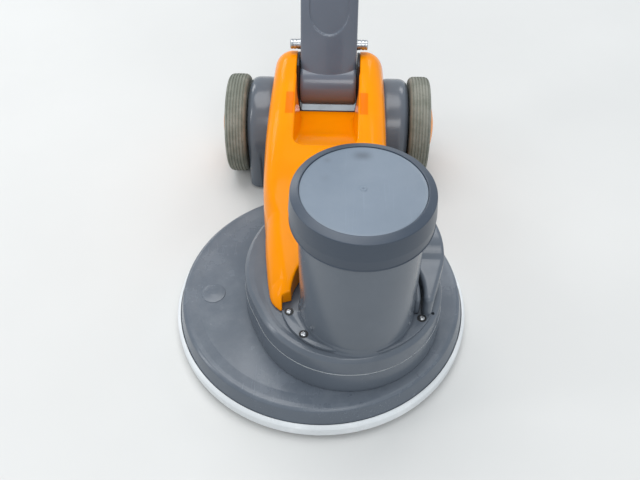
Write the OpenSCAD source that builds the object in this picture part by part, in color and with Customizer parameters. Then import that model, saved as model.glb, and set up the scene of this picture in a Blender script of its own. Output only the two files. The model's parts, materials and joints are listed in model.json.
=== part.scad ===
// Single-disc floor grinder: a round grinding head with an upright motor, a wheeled
// chassis under a hood, and a tilting handle with a switch console.
// Millimetres. +Z is up from the floor at Z = 0, and +Y points to the operator.

/* [Grinding head] */
// Outer diameter of the bumper ring round the disc housing
bumper_d = 440; // [436:1:444]
// Diameter of the steel grinding plate
plate_d = 400; // [390:1:404]
// Number of diamond segments on the grinding plate
segment_count = 20; // [12:2:28]
// Height of each diamond segment
segment_h = 9; // [8:0.5:9]
// Height of the disc housing's flat deck above the floor
deck_z = 52.4; // [52:0.2:53]

/* [Gearcase] */
// Place of the gearcase centre from the disc axis, X then Y
gearcase_at = [39, -42]; // [-60:1:60]
// Outer radius of the gearcase
gearcase_r = 135.5; // [134:0.5:137]
// Height of the gearcase top above the floor
gearcase_top = 121.8; // [121.5:0.1:122.2]
// Height of the parting line between the two gearcase halves
parting_z = 96.7; // [94:0.1:99]
// Tooth size of the first gear pair
first_module = 1.75; // [1.75:0.05:1.8]
// Teeth of the motor pinion
pinion_teeth = 16; // [15:1:17]
// Teeth of the large idler gear
idler_teeth = 46; // [45:1:47]
// Tooth size of the second gear pair
second_module = 2; // [1.95:0.05:2]
// Teeth of the small idler pinion
small_teeth = 16; // [15:1:17]
// Teeth of the output gear
output_teeth = 49; // [48:1:50]

/* [Motor] */
// Place of the motor axis from the disc axis, X then Y
motor_at = [52, -87]; // [-90:1:90]
// Outer radius of the motor shell
motor_r = 76.9; // [76:0.1:77.5]
// Height of the motor shell's top edge
motor_top = 304; // [302:1:308]
// Outer radius of the cap at its lower edge
cap_r = 87.8; // [86:0.1:89]
// Height of the cap's lower edge
cap_bottom = 300.7; // [299:0.1:303]
// Height of the cap's highest point
cap_top = 345.2; // [344:0.1:346]

/* [Chassis and wheels] */
// Distance of the wheel axle behind the disc axis
axle_y = 356; // [352:1:360]
// Radius of the tyres
tyre_r = 87.4; // [85:0.1:88]
// Half of the distance between the tyres' outer faces
track_half = 177; // [175:1:179]
// Width of each tyre
tyre_w = 36; // [35:1:37]
// Half width of the hood at the axle
hood_half = 104; // [102:1:106]

/* [Handle] */
// Distance of the tilt pivot behind the disc axis
pivot_y = 352; // [350:1:354]
// Height of the tilt pivot
pivot_z = 180; // [178:1:182]
// Lean of the handle from upright, in degrees
lean = 21; // [16:1:25]
// Radius of the knuckle round the tilt pivot
knuckle_r = 37; // [35:1:38]
// Width of the handle tube
tube_w = 94; // [90:1:95]
// Depth of the handle tube
tube_d = 60; // [58:1:61]
// Distance from the tilt pivot to the console's lower edge
console_low = 887; // [884:1:890]
// Distance from the tilt pivot to the console's top
console_high = 1060; // [1055:1:1065]
// Half width over the handle bar
bar_half = 208; // [205:1:210]
// Radius of the handle bar's tube
bar_r = 13; // [12:0.5:13]

/* [Hidden] */
$fn = 96;

// Colours
grey = [0.36, 0.39, 0.43];
dark_grey = [0.27, 0.3, 0.34];
pale_grey = [0.55, 0.6, 0.65];
orange = [1, 0.55, 0];
off_white = [0.85, 0.87, 0.88];
tyre_grey = [0.5, 0.51, 0.47];
black = [0.1, 0.1, 0.11];
steel = [0.7, 0.71, 0.73];
copper = [0.72, 0.42, 0.2];
cast = [0.6, 0.61, 0.62];

// Radii and heights that follow from the driving dimensions
bumper_r = bumper_d / 2;
plate_r = plate_d / 2;
axle_z = tyre_r;
disc_wall = 4.5;
case_wall = 5;
case_draft = 3.5;
cover_edge = 7;
swell_at = [47.5, -5];
swell_r = 160;
shell_wall = 3.5;
skin = 4;
far = 600;
touch = 0.02;

// Layers along the disc axis
plate_z = segment_h;
plate_h = 5;
driver_z = plate_z + plate_h;
driver_top = 30;
hub_z = 24;
hub_top = 40;
floor_z = 60;
output_gear_z = [64, 86];
small_pinion_z = [63, 87];
idler_gear_z = [90, 106];
motor_pinion_z = [89, 107];
cover_inner = gearcase_top - skin;
cover_flat = gearcase_r - case_draft - cover_edge;

// Shaft radii and bearing sizes: outer radius, bore radius, width
output_r = 12.5;
output_top_r = 8.5;
idler_r = 7.5;
rotor_r = 8.5;
big_bearing = [26, output_r, 15];
top_bearing = [17.5, output_top_r, 10];
idler_bearing = [16, idler_r, 9];
motor_bearing = [20, rotor_r, 12];
axle_r = 10;
pin_r = 9;
run_gap = 0.05;

// Gear centres: the idler sits where both pairs' centre distances meet
first_centre = first_module * (pinion_teeth + idler_teeth) / 2;
second_centre = second_module * (small_teeth + output_teeth) / 2;
motor_far = norm(motor_at);
along = (second_centre ^ 2 - first_centre ^ 2 + motor_far ^ 2) / (2 * motor_far);
aside = sqrt(second_centre ^ 2 - along ^ 2);
to_motor = motor_at / motor_far;
idler_at = to_motor * along + [-to_motor[1], to_motor[0]] * aside;
idler_angle = atan2(idler_at[1], idler_at[0]);
motor_from_idler = atan2(motor_at[1] - idler_at[1], motor_at[0] - idler_at[0]);
flank_slack = 0.12;
pressure = 20;

// Handle layout, in the handle's own frame: origin on the pivot, Z up the tube
bar_high = console_high - 25;
bar_low = bar_high - 100;
bar_bend = 40;
console_half = 50;
console_depth = [-35, 39];
console_wall = 3;
lever_z = bar_high - 35;
lever_x = 42;
tilt_pivot = [30, bar_low - bar_r - 12];
tube_top = tilt_pivot[1] - 7;
rod_top = tilt_pivot[1] + 2.5;
lever_pin_r = 2.5;
tilt_pin_r = 2;
cross_pin_z = 65;
cross_pin_r = 8.5;
recess_z = 86;
recess_half = 32;
recess_reach = 12;
recess_step = 1.9;
tube_low = 46;
tube_back = 28;

// The origin is put under the middle of the whole machine
back_y = pivot_y + console_high * sin(lean) + console_depth[1] * cos(lean);
mid_y = (back_y - bumper_r) / 2;

// ---- helpers ----

function polar(at, r, a) = [at[0] + r * cos(a), at[1] + r * sin(a)];
function curve_point(a, b, c, d, t) =
    ((2 * b) + (c - a) * t + (2 * a - 5 * b + 4 * c - d) * t ^ 2
     + (3 * b - a - 3 * c + d) * t ^ 3) / 2;
function smooth(p, n) = [
    for (i = [0 : len(p) - 2]) for (j = [0 : n - 1])
        curve_point(p[max(i - 1, 0)], p[i], p[i + 1], p[min(i + 2, len(p) - 1)], j / n),
    p[len(p) - 1]
];
function mirrored(p) = [for (i = [len(p) - 1 : -1 : 0]) [-p[i][0], p[i][1]]];

// Involute gear outline with each flank thinned by flank_slack
function involute_angle(c) = tan(acos(c)) * 180 / PI - acos(c);
function half_tooth(m, z, r) =
    90 / z - flank_slack / (m * z / 2) * 180 / PI + involute_angle(cos(pressure))
    - involute_angle(min(1, m * z / 2 * cos(pressure) / r));
function gear_radii(m, z) = let (
        root = m * (z / 2 - 1.25), tip = m * (z / 2 + 0.95),
        base = max(root + 0.1, m * z / 2 * cos(pressure)))
    [root, for (i = [0 : 4]) base + (tip - base) * i / 4];
function gear_outline(m, z) = let (radii = gear_radii(m, z)) [
    for (k = [0 : z - 1]) each concat(
        [for (r = radii) polar([0, 0], r, k * 360 / z - half_tooth(m, z, r))],
        [for (i = [len(radii) - 1 : -1 : 0])
            polar([0, 0], radii[i], k * 360 / z + half_tooth(m, z, radii[i]))])
];

module whole() {
    translate([0, -mid_y, 0]) children();
}

module on_handle() {
    whole() translate([0, pivot_y, pivot_z]) rotate([-lean, 0, 0]) children();
}

module at_gearcase() {
    whole() translate([gearcase_at[0], gearcase_at[1], 0]) children();
}

module at_motor() {
    whole() translate([motor_at[0], motor_at[1], 0]) children();
}

module at_idler() {
    whole() translate([idler_at[0], idler_at[1], 0]) children();
}

// side is 1 for the wheel on +X, -1 for the one on -X; Z then runs outwards
module at_wheel(side) {
    whole() translate([0, axle_y, axle_z]) rotate([0, side * 90, 0])
        translate([0, 0, track_half - tyre_w]) children();
}

module ring(outer, inner, low, high) {
    translate([0, 0, low]) difference() {
        cylinder(r = outer, h = high - low);
        translate([0, 0, -1]) cylinder(r = inner, h = high - low + 2);
    }
}

module rod(r, low, high) {
    translate([0, 0, low]) cylinder(r = r, h = high - low);
}

module bearing(size, low) {
    ring(size[0], size[1], low, low + size[2]);
}

module rounded_rect(w, d, r) {
    square([w - 2 * r, d], center = true);
    square([w, d - 2 * r], center = true);
    for (x = [-1, 1], y = [-1, 1])
        translate([x * (w / 2 - r), y * (d / 2 - r)]) circle(r);
}

module screw(head_r, head_h, shank_r, shank_h) {
    difference() {
        cylinder(r = head_r, h = head_h);
        translate([0, 0, head_h - 1.8]) cylinder(r = head_r * 0.5, h = 2, $fn = 6);
    }
    translate([0, 0, -shank_h]) cylinder(r = shank_r, h = shank_h + 0.5);
}

// ---- grinding head ----

housing_outer = bumper_r - 6;
opening_r = 112;
plug_at = [-162, -14];
housing_screw_r = 124;
housing_screw_angles = [for (i = [0 : 5]) 30 + 60 * i];

module base_housing() {
    ridge = housing_outer - 8;
    color(grey) whole() difference() {
        union() {
            rotate_extrude($fn = 180) polygon([
                [0, deck_z - disc_wall], [ridge - 8, deck_z - disc_wall],
                [housing_outer - 5, 26], [housing_outer - 5, 7], [housing_outer, 7],
                [housing_outer, 29], [ridge + 1.6, deck_z - 2.5],
                [ridge, deck_z], [ridge - 2, deck_z + 1.2], [ridge - 5, deck_z + 1.2],
                [ridge - 8, deck_z], [0, deck_z]]);
            for (a = [0 : 30 : 330]) rotate(a)
                translate([140, -1.5, deck_z - disc_wall - 9]) cube([62, 3, 10]);
        }
        translate([gearcase_at[0], gearcase_at[1], 30]) cylinder(r = opening_r, h = 40);
        translate([plug_at[0], plug_at[1], 30]) cylinder(r = 14, h = 40);
        for (a = housing_screw_angles)
            translate(polar(gearcase_at, housing_screw_r, a)) cylinder(r = 3, h = 80);
    }
}

module bumper_ring() {
    color(off_white) whole() rotate_extrude($fn = 180) difference() {
        union() {
            translate([housing_outer, 9]) square([3, 20]);
            translate([housing_outer + 1, 6]) square([2, 23]);
            translate([housing_outer + 3, 9]) circle(3, $fn = 48);
            translate([housing_outer + 3, 9]) square([3, 15]);
            translate([housing_outer + 1, 24]) circle(5, $fn = 48);
        }
        square([housing_outer, 40]);
    }
}

module housing_plug() {
    color(grey) whole() translate([plug_at[0], plug_at[1], 0]) {
        rod(14, deck_z - disc_wall, deck_z);
        translate([0, 0, deck_z]) intersection() {
            cylinder(r = 18, h = 3);
            translate([0, 0, 2.2 - 74]) sphere(r = 74, $fn = 120);
        }
    }
}

module housing_screws() {
    color(steel) at_gearcase() for (a = housing_screw_angles)
        translate(polar([0, 0], housing_screw_r, a)) translate([0, 0, deck_z - disc_wall])
            mirror([0, 0, 1]) screw(5.5, 4, 3, 20);
}

// ---- gearcase ----

function drawn_in(r, z) = r - case_draft * (z - deck_z) / (gearcase_top - deck_z);

// A turned body whose wall leans in towards the top, with its top edge rounded
module leaning_drum(r, low, high, edge) {
    rim = drawn_in(r, high - edge);
    rotate_extrude($fn = 180) {
        polygon([[0, low], [drawn_in(r, low), low], [rim, high - edge], [0, high - edge]]);
        if (edge > 0) {
            translate([0, low]) square([rim - edge, high - low]);
            translate([rim - edge, high - edge]) circle(edge);
        }
    }
}

// The gearcase is round, and swells out on the left behind its middle
module case_block(inset, low, high, edge = 0) {
    translate([gearcase_at[0], gearcase_at[1], 0])
        leaning_drum(gearcase_r - inset, low, high, edge);
    intersection() {
        translate([swell_at[0], swell_at[1], 0]) leaning_drum(swell_r - inset, low, high, edge);
        translate([-200, -140, 0]) cube([170, 220 - inset, 300]);
    }
}

module gearcase_lower() {
    color(grey) whole() difference() {
        union() {
            case_block(0, deck_z, parting_z);
            translate([gearcase_at[0], gearcase_at[1], 0])
                rod(opening_r, deck_z - disc_wall, deck_z + 1);
            rod(31, 42, floor_z + 2);
        }
        case_block(case_wall, floor_z + 2, parting_z + 1);
        difference() {
            case_block(case_wall, floor_z, floor_z + 3);
            cylinder(r = 31, h = 80);
        }
        for (a = housing_screw_angles)
            translate(polar(gearcase_at, housing_screw_r, a)) cylinder(r = 3, h = 68);
        translate([0, 0, 40]) cylinder(r = big_bearing[0], h = 30);
        translate([idler_at[0], idler_at[1], floor_z - idler_bearing[2]])
            cylinder(r = idler_bearing[0], h = 14);
    }
    color(grey) at_gearcase() for (a = housing_screw_angles)
        translate(polar([0, 0], housing_screw_r, a)) ring(7, 3, floor_z, 68);
}

module gearcase_cover() {
    color(grey) difference() {
        union() {
            whole() difference() {
                case_block(0, parting_z, gearcase_top, cover_edge);
                case_block(case_wall, parting_z - 1, cover_inner);
            }
            whole() rod(21.5, idler_gear_z[0] + 2, cover_inner + 1);
            at_idler() rod(20, idler_gear_z[1] + 2.5, cover_inner + 1);
        }
        whole() translate([0, 0, 80]) cylinder(r = top_bearing[0], h = 22);
        at_idler() translate([0, 0, 100])
            cylinder(r = idler_bearing[0], h = cover_inner - 100);
        at_motor() translate([0, 0, 100]) cylinder(r = 17, h = 40);
        for (p = flange_screw_points)
            whole() translate([p[0], p[1], cover_inner - 1]) cylinder(r = 2, h = 20);
        whole() translate([drain_at[0], drain_at[1], cover_inner - 1]) cylinder(r = 2.5, h = 20);
    }
}

module gearcase_bearings() {
    color(steel) {
        whole() bearing(big_bearing, floor_z - big_bearing[2] + 2);
        whole() bearing(top_bearing, 92);
        at_idler() bearing(idler_bearing, floor_z - idler_bearing[2]);
        at_idler() bearing(idler_bearing, cover_inner - idler_bearing[2]);
    }
}

module output_seal() {
    color(black) whole() ring(big_bearing[0], output_r + 0.1, 42, floor_z - big_bearing[2] + 2);
}

// ---- side shroud and capacitor ----

shroud_top = 196;
shroud_skirt = 5;
column_at = [146.5, -93];
column_r = 6.3;
divide_low = polar(motor_at, motor_r + 14, 78);
divide_high = [97, 92];

// Plan of the shroud: it ends in a round column beside the motor
module shroud_plan(inset) {
    difference() {
        intersection() {
            translate(gearcase_at) circle(gearcase_r - 4.5 - inset, $fn = 180);
            polygon([
                [110, column_at[1]], [column_at[0] + column_r - inset, column_at[1]],
                [170.5 - inset, -33], [far, -33], [far, far], divide_high + [2 + inset, 0],
                divide_low + [2 + inset, 0]]);
        }
        translate(motor_at) circle(motor_r + 11 + inset, $fn = 180);
    }
    translate(column_at) circle(column_r - inset);
}

module shroud_block(inset) {
    intersection() {
        translate([0, 0, gearcase_top - shroud_skirt])
            linear_extrude(shroud_top - gearcase_top + shroud_skirt - inset) shroud_plan(inset);
        rotate([90, 0, 90]) linear_extrude(far) polygon(concat(
            [[-140, 100], [-140, 156 - inset], [-100, 156 - inset]],
            smooth([[-92, 158 - inset], [-67, 165 - inset], [-38, 171 - inset],
                    [-19, 184 - inset], [0, 191 - inset], [25, shroud_top - inset],
                    [60, shroud_top - 2 - inset], [95, 188 - inset]], 6),
            [[200, 188 - inset], [200, 100]]));
    }
}

capacitor_at = [138, -4];

module side_shroud() {
    color(grey) whole() difference() {
        shroud_block(0);
        translate([0, 0, -0.5]) shroud_block(skin);
        case_block(0, parting_z, gearcase_top, cover_edge);
    }
}

module run_capacitor() {
    color(pale_grey) whole() translate([capacitor_at[0], capacitor_at[1], gearcase_top]) {
        rod(18, 0, 50);
        for (x = [-6, 6]) translate([x - 1, -3, 49.5]) cube([2, 6, 8]);
    }
}

// ---- motor ----

flange_top = gearcase_top + 5;
flange_screw_points = [[-39.5, -100.5], [-18, -136.5], [139, -105]];
drain_at = [155, -92];

module flange_outline() {
    translate(motor_at + [-20, 10]) circle(84, $fn = 180);
    translate(motor_at + [20, 12]) circle(86, $fn = 180);
}

module motor_flange() {
    color(grey) whole() difference() {
        translate([0, 0, gearcase_top]) linear_extrude(flange_top - gearcase_top)
            difference() {
                intersection() {
                    flange_outline();
                    translate(gearcase_at) circle(cover_flat + 1, $fn = 180);
                    translate([-200, -300]) square([400, 300 - 98 + touch]);
                }
                translate(motor_at) circle(motor_r, $fn = 180);
                translate(column_at) circle(column_r);
            }
        for (p = flange_screw_points)
            translate([p[0], p[1], 100]) cylinder(r = 2, h = 40);
    }
}

module flange_screws() {
    color(steel) whole() for (p = flange_screw_points)
        translate([p[0], p[1], flange_top]) screw(4.5, 2.5, 2, flange_top - cover_inner - 0.5);
}

module motor_shell() {
    color(grey) at_motor() difference() {
        rod(motor_r, gearcase_top, motor_top);
        translate([0, 0, 100]) cylinder(r = motor_r - shell_wall, h = 300);
    }
}

module stator_core() {
    inner_r = 38.5;
    color(steel) at_motor() difference() {
        rod(motor_r - shell_wall, 160, 235);
        translate([0, 0, 150]) cylinder(r = inner_r, h = 100);
        for (a = [0 : 15 : 345]) rotate(a)
            translate([inner_r + 9, 0, 150]) cylinder(r = 3.2, h = 100, $fn = 24);
    }
}

module stator_windings() {
    color(copper) at_motor() for (z = [149, 246])
        translate([0, 0, z]) rotate_extrude() translate([50, 0]) circle(11, $fn = 40);
    color(copper) at_motor() for (a = [0 : 15 : 345]) rotate(a)
        translate([47.5, 0, 155]) cylinder(r = 3, h = 85, $fn = 24);
}

module motor_bracket(low, hub_low) {
    difference() {
        union() {
            rod(motor_r - shell_wall, low, low + 6);
            rod(27, hub_low, hub_low + 14);
        }
        translate([0, 0, hub_low - 1]) cylinder(r = motor_bearing[0], h = 16);
        for (a = [0 : 60 : 300]) rotate(a)
            translate([48, 0, low - 1]) cylinder(r = 9, h = 8, $fn = 32);
    }
}

module motor_brackets() {
    color(cast) at_motor() {
        motor_bracket(gearcase_top + 3, gearcase_top + 3);
        motor_bracket(268, 260);
    }
}

module motor_bearings() {
    color(steel) at_motor() {
        bearing(motor_bearing, gearcase_top + 4);
        bearing(motor_bearing, 261);
    }
}

module motor_cap() {
    color(dark_grey) at_motor() {
        rotate_extrude($fn = 180) polygon([
            [cap_r, cap_bottom], [cap_r - 1.2, cap_bottom + 14], [cap_r - 3.2, cap_top - 4],
            [cap_r - 4.2, cap_top - 2.4], [75.5, cap_top], [73.8, cap_top], [73.8, cap_top - 3],
            [0, cap_top - 3], [0, cap_top - 6], [cap_r - 7, cap_top - 6],
            [cap_r - 3.6, cap_bottom + 12], [cap_r - 3, cap_bottom]]);
        for (a = [30 : 60 : 330]) rotate(a)
            translate([motor_r - 1.5, -2, motor_top]) cube([9, 4, cap_top - 5 - motor_top]);
    }
}

module cap_inlay() {
    color(pale_grey) at_motor() {
        rod(73.8, cap_top - 3, cap_top - 0.6);
        translate([0, 0, cap_top - 1]) cylinder(r1 = 3, r2 = 2, h = 1);
    }
}

// ---- rotor, idler and disc drive ----

module rotor_shaft() {
    color(steel) at_motor() {
        rod(rotor_r - run_gap, motor_pinion_z[0], 300);
        translate([0, 0, motor_pinion_z[0]])
            rotate(motor_from_idler + 180)
                linear_extrude(motor_pinion_z[1] - motor_pinion_z[0])
                    polygon(gear_outline(first_module, pinion_teeth));
    }
}

module rotor_core() {
    color(pale_grey) at_motor() difference() {
        union() {
            rod(38, 160, 235);
            for (z = [154, 235]) rod(34, z, z + 6);
        }
        translate([0, 0, 100]) cylinder(r = rotor_r - run_gap, h = 200);
    }
}

module cooling_fan() {
    color(black) at_motor() difference() {
        union() {
            rod(16, 278, 294);
            rod(62, 278, 280.5);
            for (a = [0 : 36 : 324]) rotate(a)
                translate([14, -1.2, 279]) cube([48, 2.4, 14]);
        }
        translate([0, 0, 270]) cylinder(r = rotor_r - run_gap, h = 40);
    }
}

// A gap between two teeth faces the motor pinion's tooth
module idler_gear() {
    color(steel) at_idler() translate([0, 0, idler_gear_z[0]])
        rotate(motor_from_idler + 180 / idler_teeth)
            difference() {
                linear_extrude(idler_gear_z[1] - idler_gear_z[0])
                    polygon(gear_outline(first_module, idler_teeth));
                translate([0, 0, -1]) cylinder(r = 11, h = 30);
                for (a = [0 : 60 : 300]) rotate(a)
                    translate([25, 0, -1]) cylinder(r = 6, h = 30, $fn = 32);
            }
}

module idler_shaft() {
    color(steel) at_idler() {
        rod(idler_r - run_gap, floor_z - 8, cover_inner - 1);
        rod(11, small_pinion_z[1], idler_gear_z[1]);
        translate([0, 0, small_pinion_z[0]])
            rotate(idler_angle + 180)
                linear_extrude(small_pinion_z[1] - small_pinion_z[0])
                    polygon(gear_outline(second_module, small_teeth));
    }
}

module output_gear() {
    color(steel) whole() translate([0, 0, output_gear_z[0]])
        rotate(idler_angle + 180 / output_teeth)
            difference() {
                linear_extrude(output_gear_z[1] - output_gear_z[0])
                    polygon(gear_outline(second_module, output_teeth));
                translate([0, 0, -1]) cylinder(r = output_r - run_gap, h = 40);
                for (a = [0 : 60 : 300]) rotate(a)
                    translate([30, 0, -1]) cylinder(r = 8, h = 40, $fn = 32);
            }
}

module output_shaft() {
    color(steel) whole() {
        rod(output_r - run_gap, 18, output_gear_z[1] + 3);
        rod(output_top_r - run_gap, output_gear_z[1], 102);
    }
}

module clutch_hub() {
    color(cast) whole() difference() {
        union() {
            rod(50, hub_z, hub_z + 8);
            rod(24, hub_z, hub_top);
        }
        cylinder(r = output_r - run_gap, h = 60);
        for (a = [0 : 120 : 240]) rotate(a)
            translate([38, 0, 0]) cylinder(r = 4, h = 60);
    }
}

module pad_driver() {
    color(black) whole() difference() {
        rotate_extrude($fn = 180) polygon([
            [26, driver_z], [plate_r - 4, driver_z], [plate_r - 2, driver_z + 2],
            [plate_r - 2, driver_top - 4], [plate_r - 6, driver_top], [60, driver_top],
            [60, hub_z], [26, hub_z]]);
        for (a = [0 : 120 : 240]) rotate(a)
            translate([38, 0, 0]) cylinder(r = 4, h = 60);
    }
}

module grinding_plate() {
    color(steel) whole() difference() {
        rod(plate_r, plate_z, plate_z + plate_h);
        translate([0, 0, -1]) cylinder(r = 25, h = 40);
        for (a = [0 : 60 : 300]) rotate(a + 30)
            translate([90, 0, -1]) cylinder(r = 12, h = 40);
    }
}

module diamond_segments() {
    color(cast) whole() for (i = [0 : segment_count - 1]) rotate(i * 360 / segment_count)
        translate([i % 2 == 0 ? 158 : 128, 0, 0]) rotate(i % 2 == 0 ? 12 : -18)
            linear_extrude(segment_h) rounded_rect(38, 12, 3);
}

// ---- chassis, hood, axle ----

slot_half = 52.5;
slot_front = pivot_y - knuckle_r - 3;
pocket_z = 150;
pocket_front = [165, 196];
pocket_step = 259;
hood_low = 100;
hood_rear = 446;
hood_top = 235.5;
arm_r = hood_top - pivot_z;

hood_left = smooth([
    [-49, -104], [-61, -91], [-70, -70], [-77, -28], [-84, 20], [-91, 90], [-98, 160],
    [-hood_half, 240], [-hood_half, 330], [-99, 395], [-84, 432], [-62, hood_rear]], 5);
hood_right = smooth([
    [62, hood_rear], [84, 432], [99, 395], [hood_half, 330], [hood_half, 240],
    [101, 160], divide_high], 5);
motor_side = [for (a = [78 : 6 : 174]) polar(motor_at, motor_r + 14, a)];

hood_profile = concat(
    [[-120, 90], [-120, 112]],
    smooth([[-104, 123], [-85, 141], [-50, 158], [0, 172], [80, 186], [160, 196],
            [240, 207], [300, 223], [335, 233]], 5),
    [for (a = [90 : -6 : 24]) polar([pivot_y, pivot_z], arm_r, a)],
    smooth([[422, 165], [438, 134], [hood_rear, 100], [hood_rear, 60]], 5),
    [[hood_rear, 50], [0, 50]]);

hood_section = concat(
    [[-130, 40]],
    smooth([[-hood_half - 3, 60], [-hood_half - 1, 110], [-100, 155], [-94, 190],
            [-86, 216], [-77, 230], [-66, hood_top], [-50, hood_top + 0.5]], 5));

module hood_plan() {
    polygon(concat(hood_left, hood_right, [divide_low], motor_side, [[-33, -77], [-50, -83]]));
}

module hood_block(inset) {
    intersection() {
        translate([0, 0, 40]) linear_extrude(300) offset(delta = -inset) hood_plan();
        rotate([90, 0, 90]) translate([0, 0, -200]) linear_extrude(400)
            offset(delta = -inset) polygon(hood_profile);
        translate([0, 600, 0]) rotate([90, 0, 0]) linear_extrude(900)
            offset(delta = -inset) polygon(concat(hood_section, mirrored(hood_section)));
    }
}

module slot_cut(grow) {
    translate([-slot_half - grow, slot_front - grow, 0]) cube([2 * (slot_half + grow), 300, 400]);
}

// The hollow in front of the knuckle: a ramp down from its lip, then a level floor
module pocket_cut(grow) {
    translate([-slot_half - grow, 0, 0]) rotate([90, 0, 90])
        linear_extrude(2 * (slot_half + grow)) offset(delta = grow) polygon([
            pocket_front, [pocket_step, pocket_z], [500, pocket_z], [500, 400],
            [pocket_front[0], 400]]);
}

module hood() {
    color(orange) difference() {
        whole() hood_block(0);
        whole() difference() {
            hood_block(skin);
            slot_cut(skin);
            pocket_cut(skin);
        }
        whole() slot_cut(0);
        whole() pocket_cut(0);
        whole() translate([-300, -300, 0]) cube([600, 900, hood_low]);
        whole() translate([-fork_half - 2, pivot_y - fork_reach - 3, 0])
            cube([2 * fork_half + 4, 2 * fork_reach + 6, hood_low + fork_plate + 0.4]);
        whole() case_block(0, 0, gearcase_top);
        whole() for (side = [-1, 1]) translate([0, axle_y, axle_z]) rotate([0, side * 90, 0])
            translate([0, 0, 80]) cylinder(r = arch_r + 0.5, h = 60);
        whole() translate([-90, pivot_y, pivot_z]) rotate([0, 90, 0])
            cylinder(r = pin_r + 0.5, h = 180);
    }
}

arch_r = 83;
arch_half = track_half - tyre_w - 1.5;
arch_inner = 92;
arch_low = 22;

module arch_outline(r, low) {
    circle(r, $fn = 180);
    translate([-r, low - axle_z]) square([2 * r, axle_z - low]);
}

// An arch with a drum above the axle, whose outer edge is rounded, and a flat front below it
module arch_pod(side, from, to, r, low) {
    shoulder = 12;
    translate([0, axle_y, axle_z]) rotate([0, side * 90, 0]) rotate([0, 0, 90]) {
        rotate_extrude($fn = 180) translate([0, from]) {
            square([r, to - from - shoulder]);
            square([r - shoulder, to - from]);
            translate([r - shoulder, to - from - shoulder]) circle(shoulder, $fn = 64);
        }
    }
    translate([side > 0 ? from : -to + shoulder, axle_y, axle_z]) rotate([90, 0, 90])
        linear_extrude(to - from - shoulder) arch_outline(r, low);
    translate([side > 0 ? from : -to, axle_y, axle_z]) rotate([90, 0, 90])
        linear_extrude(to - from) arch_outline(r - shoulder, low);
}

// Wheel arches on both sides, and a box chassis between them that runs onto the deck
module chassis_frame() {
    box_low = deck_z + 1.2;
    front = axle_y - arch_r;
    color(grey) whole() difference() {
        union() {
            for (side = [-1, 1])
                arch_pod(side, arch_inner, arch_half, arch_r, arch_low);
            translate([-arch_inner, 40, box_low]) cube([2 * arch_inner, 300, hood_low - box_low]);
            translate([-arch_inner, front, arch_low])
                cube([2 * arch_inner, 2 * arch_r, hood_low - arch_low]);
        }
        for (side = [-1, 1])
            arch_pod(side, arch_inner + skin, arch_half - skin, arch_r - skin, 0);
        translate([-arch_inner + skin, 44, box_low + skin])
            cube([2 * (arch_inner - skin), 300, hood_low - box_low - 2 * skin]);
        translate([-arch_inner + skin, front + skin, 0])
            cube([2 * (arch_inner - skin), 2 * (arch_r - skin), hood_low - skin]);
        case_block(0, 0, 200);
        translate([-200, axle_y, axle_z]) rotate([0, 90, 0]) cylinder(r = axle_r, h = 400);
    }
}

module axle() {
    color(steel) whole() translate([-track_half + 3.5, axle_y, axle_z]) rotate([0, 90, 0])
        cylinder(r = axle_r, h = 2 * track_half - 7);
}

module axle_clips() {
    color(steel) for (side = [-1, 1]) at_wheel(side) ring(15, axle_r, tyre_w - 5.6, tyre_w - 4);
}

// Two plates stand on a base plate, outside the hood's slot walls, and carry the pivot pin
fork_plate = 5;
fork_half = slot_half + skin + 0.3 + fork_plate;
fork_reach = 60;

module fork_brackets() {
    color(pale_grey) whole() difference() {
        for (x = [-fork_half, fork_half - fork_plate])
            translate([x, 0, 0]) rotate([90, 0, 90]) linear_extrude(fork_plate) {
                translate([pivot_y, pivot_z]) circle(26);
                polygon([[pivot_y - fork_reach, hood_low], [pivot_y + fork_reach, hood_low],
                         [pivot_y + 25, pivot_z - 5], [pivot_y + 25, pivot_z + 4],
                         [pivot_y - 25, pivot_z + 4], [pivot_y - 25, pivot_z - 5]]);
            }
        translate([-90, pivot_y, pivot_z]) rotate([0, 90, 0]) cylinder(r = pin_r, h = 180);
    }
    color(pale_grey) whole() translate([-fork_half, pivot_y - fork_reach, hood_low])
        cube([2 * fork_half, 2 * fork_reach, fork_plate]);
}

module pivot_pin() {
    reach = fork_half + 5.5;
    color(steel) whole() translate([-reach, pivot_y, pivot_z]) rotate([0, 90, 0]) {
        cylinder(r = pin_r, h = 2 * reach);
        cylinder(r = 12, h = 3);
        translate([0, 0, 2 * reach - 3]) cylinder(r = 12, h = 3);
    }
}

module brake_sector() {
    color(steel) whole() translate([-8, pivot_y, pivot_z]) rotate([0, 90, 0])
        ring(22, pin_r, 0, 16);
}

// ---- wheels ----

tread_grooves = 6;

module wheel_tyre(side) {
    color(tyre_grey) at_wheel(side) rotate_extrude($fn = 180) difference() {
        union() {
            translate([60, 0]) square([tyre_r - 66, tyre_w]);
            translate([60, 6]) square([tyre_r - 60, tyre_w - 12]);
            for (z = [6, tyre_w - 6]) translate([tyre_r - 6, z]) circle(6, $fn = 48);
        }
        for (i = [1 : tread_grooves])
            translate([tyre_r - 1, i * tyre_w / (tread_grooves + 1) - 0.7]) square([3, 1.4]);
    }
}

module wheel_rim(side) {
    color(black) at_wheel(side) difference() {
        union() {
            ring(60, 54, 2, tyre_w - 3);
            rod(17, 1, tyre_w - 6);
            ring(54 + touch, 16, 15, 21);
        }
        translate([0, 0, -10]) cylinder(r = axle_r + run_gap, h = 80);
    }
}

module hubcap(side) {
    cap_bend = 125;
    color(orange) at_wheel(side) {
        ring(50, 48, 21, tyre_w - 2.5);
        intersection() {
            rod(56, tyre_w - 3, tyre_w + 14);
            translate([0, 0, tyre_w + 12 - cap_bend]) sphere(r = cap_bend, $fn = 200);
        }
    }
}

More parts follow.
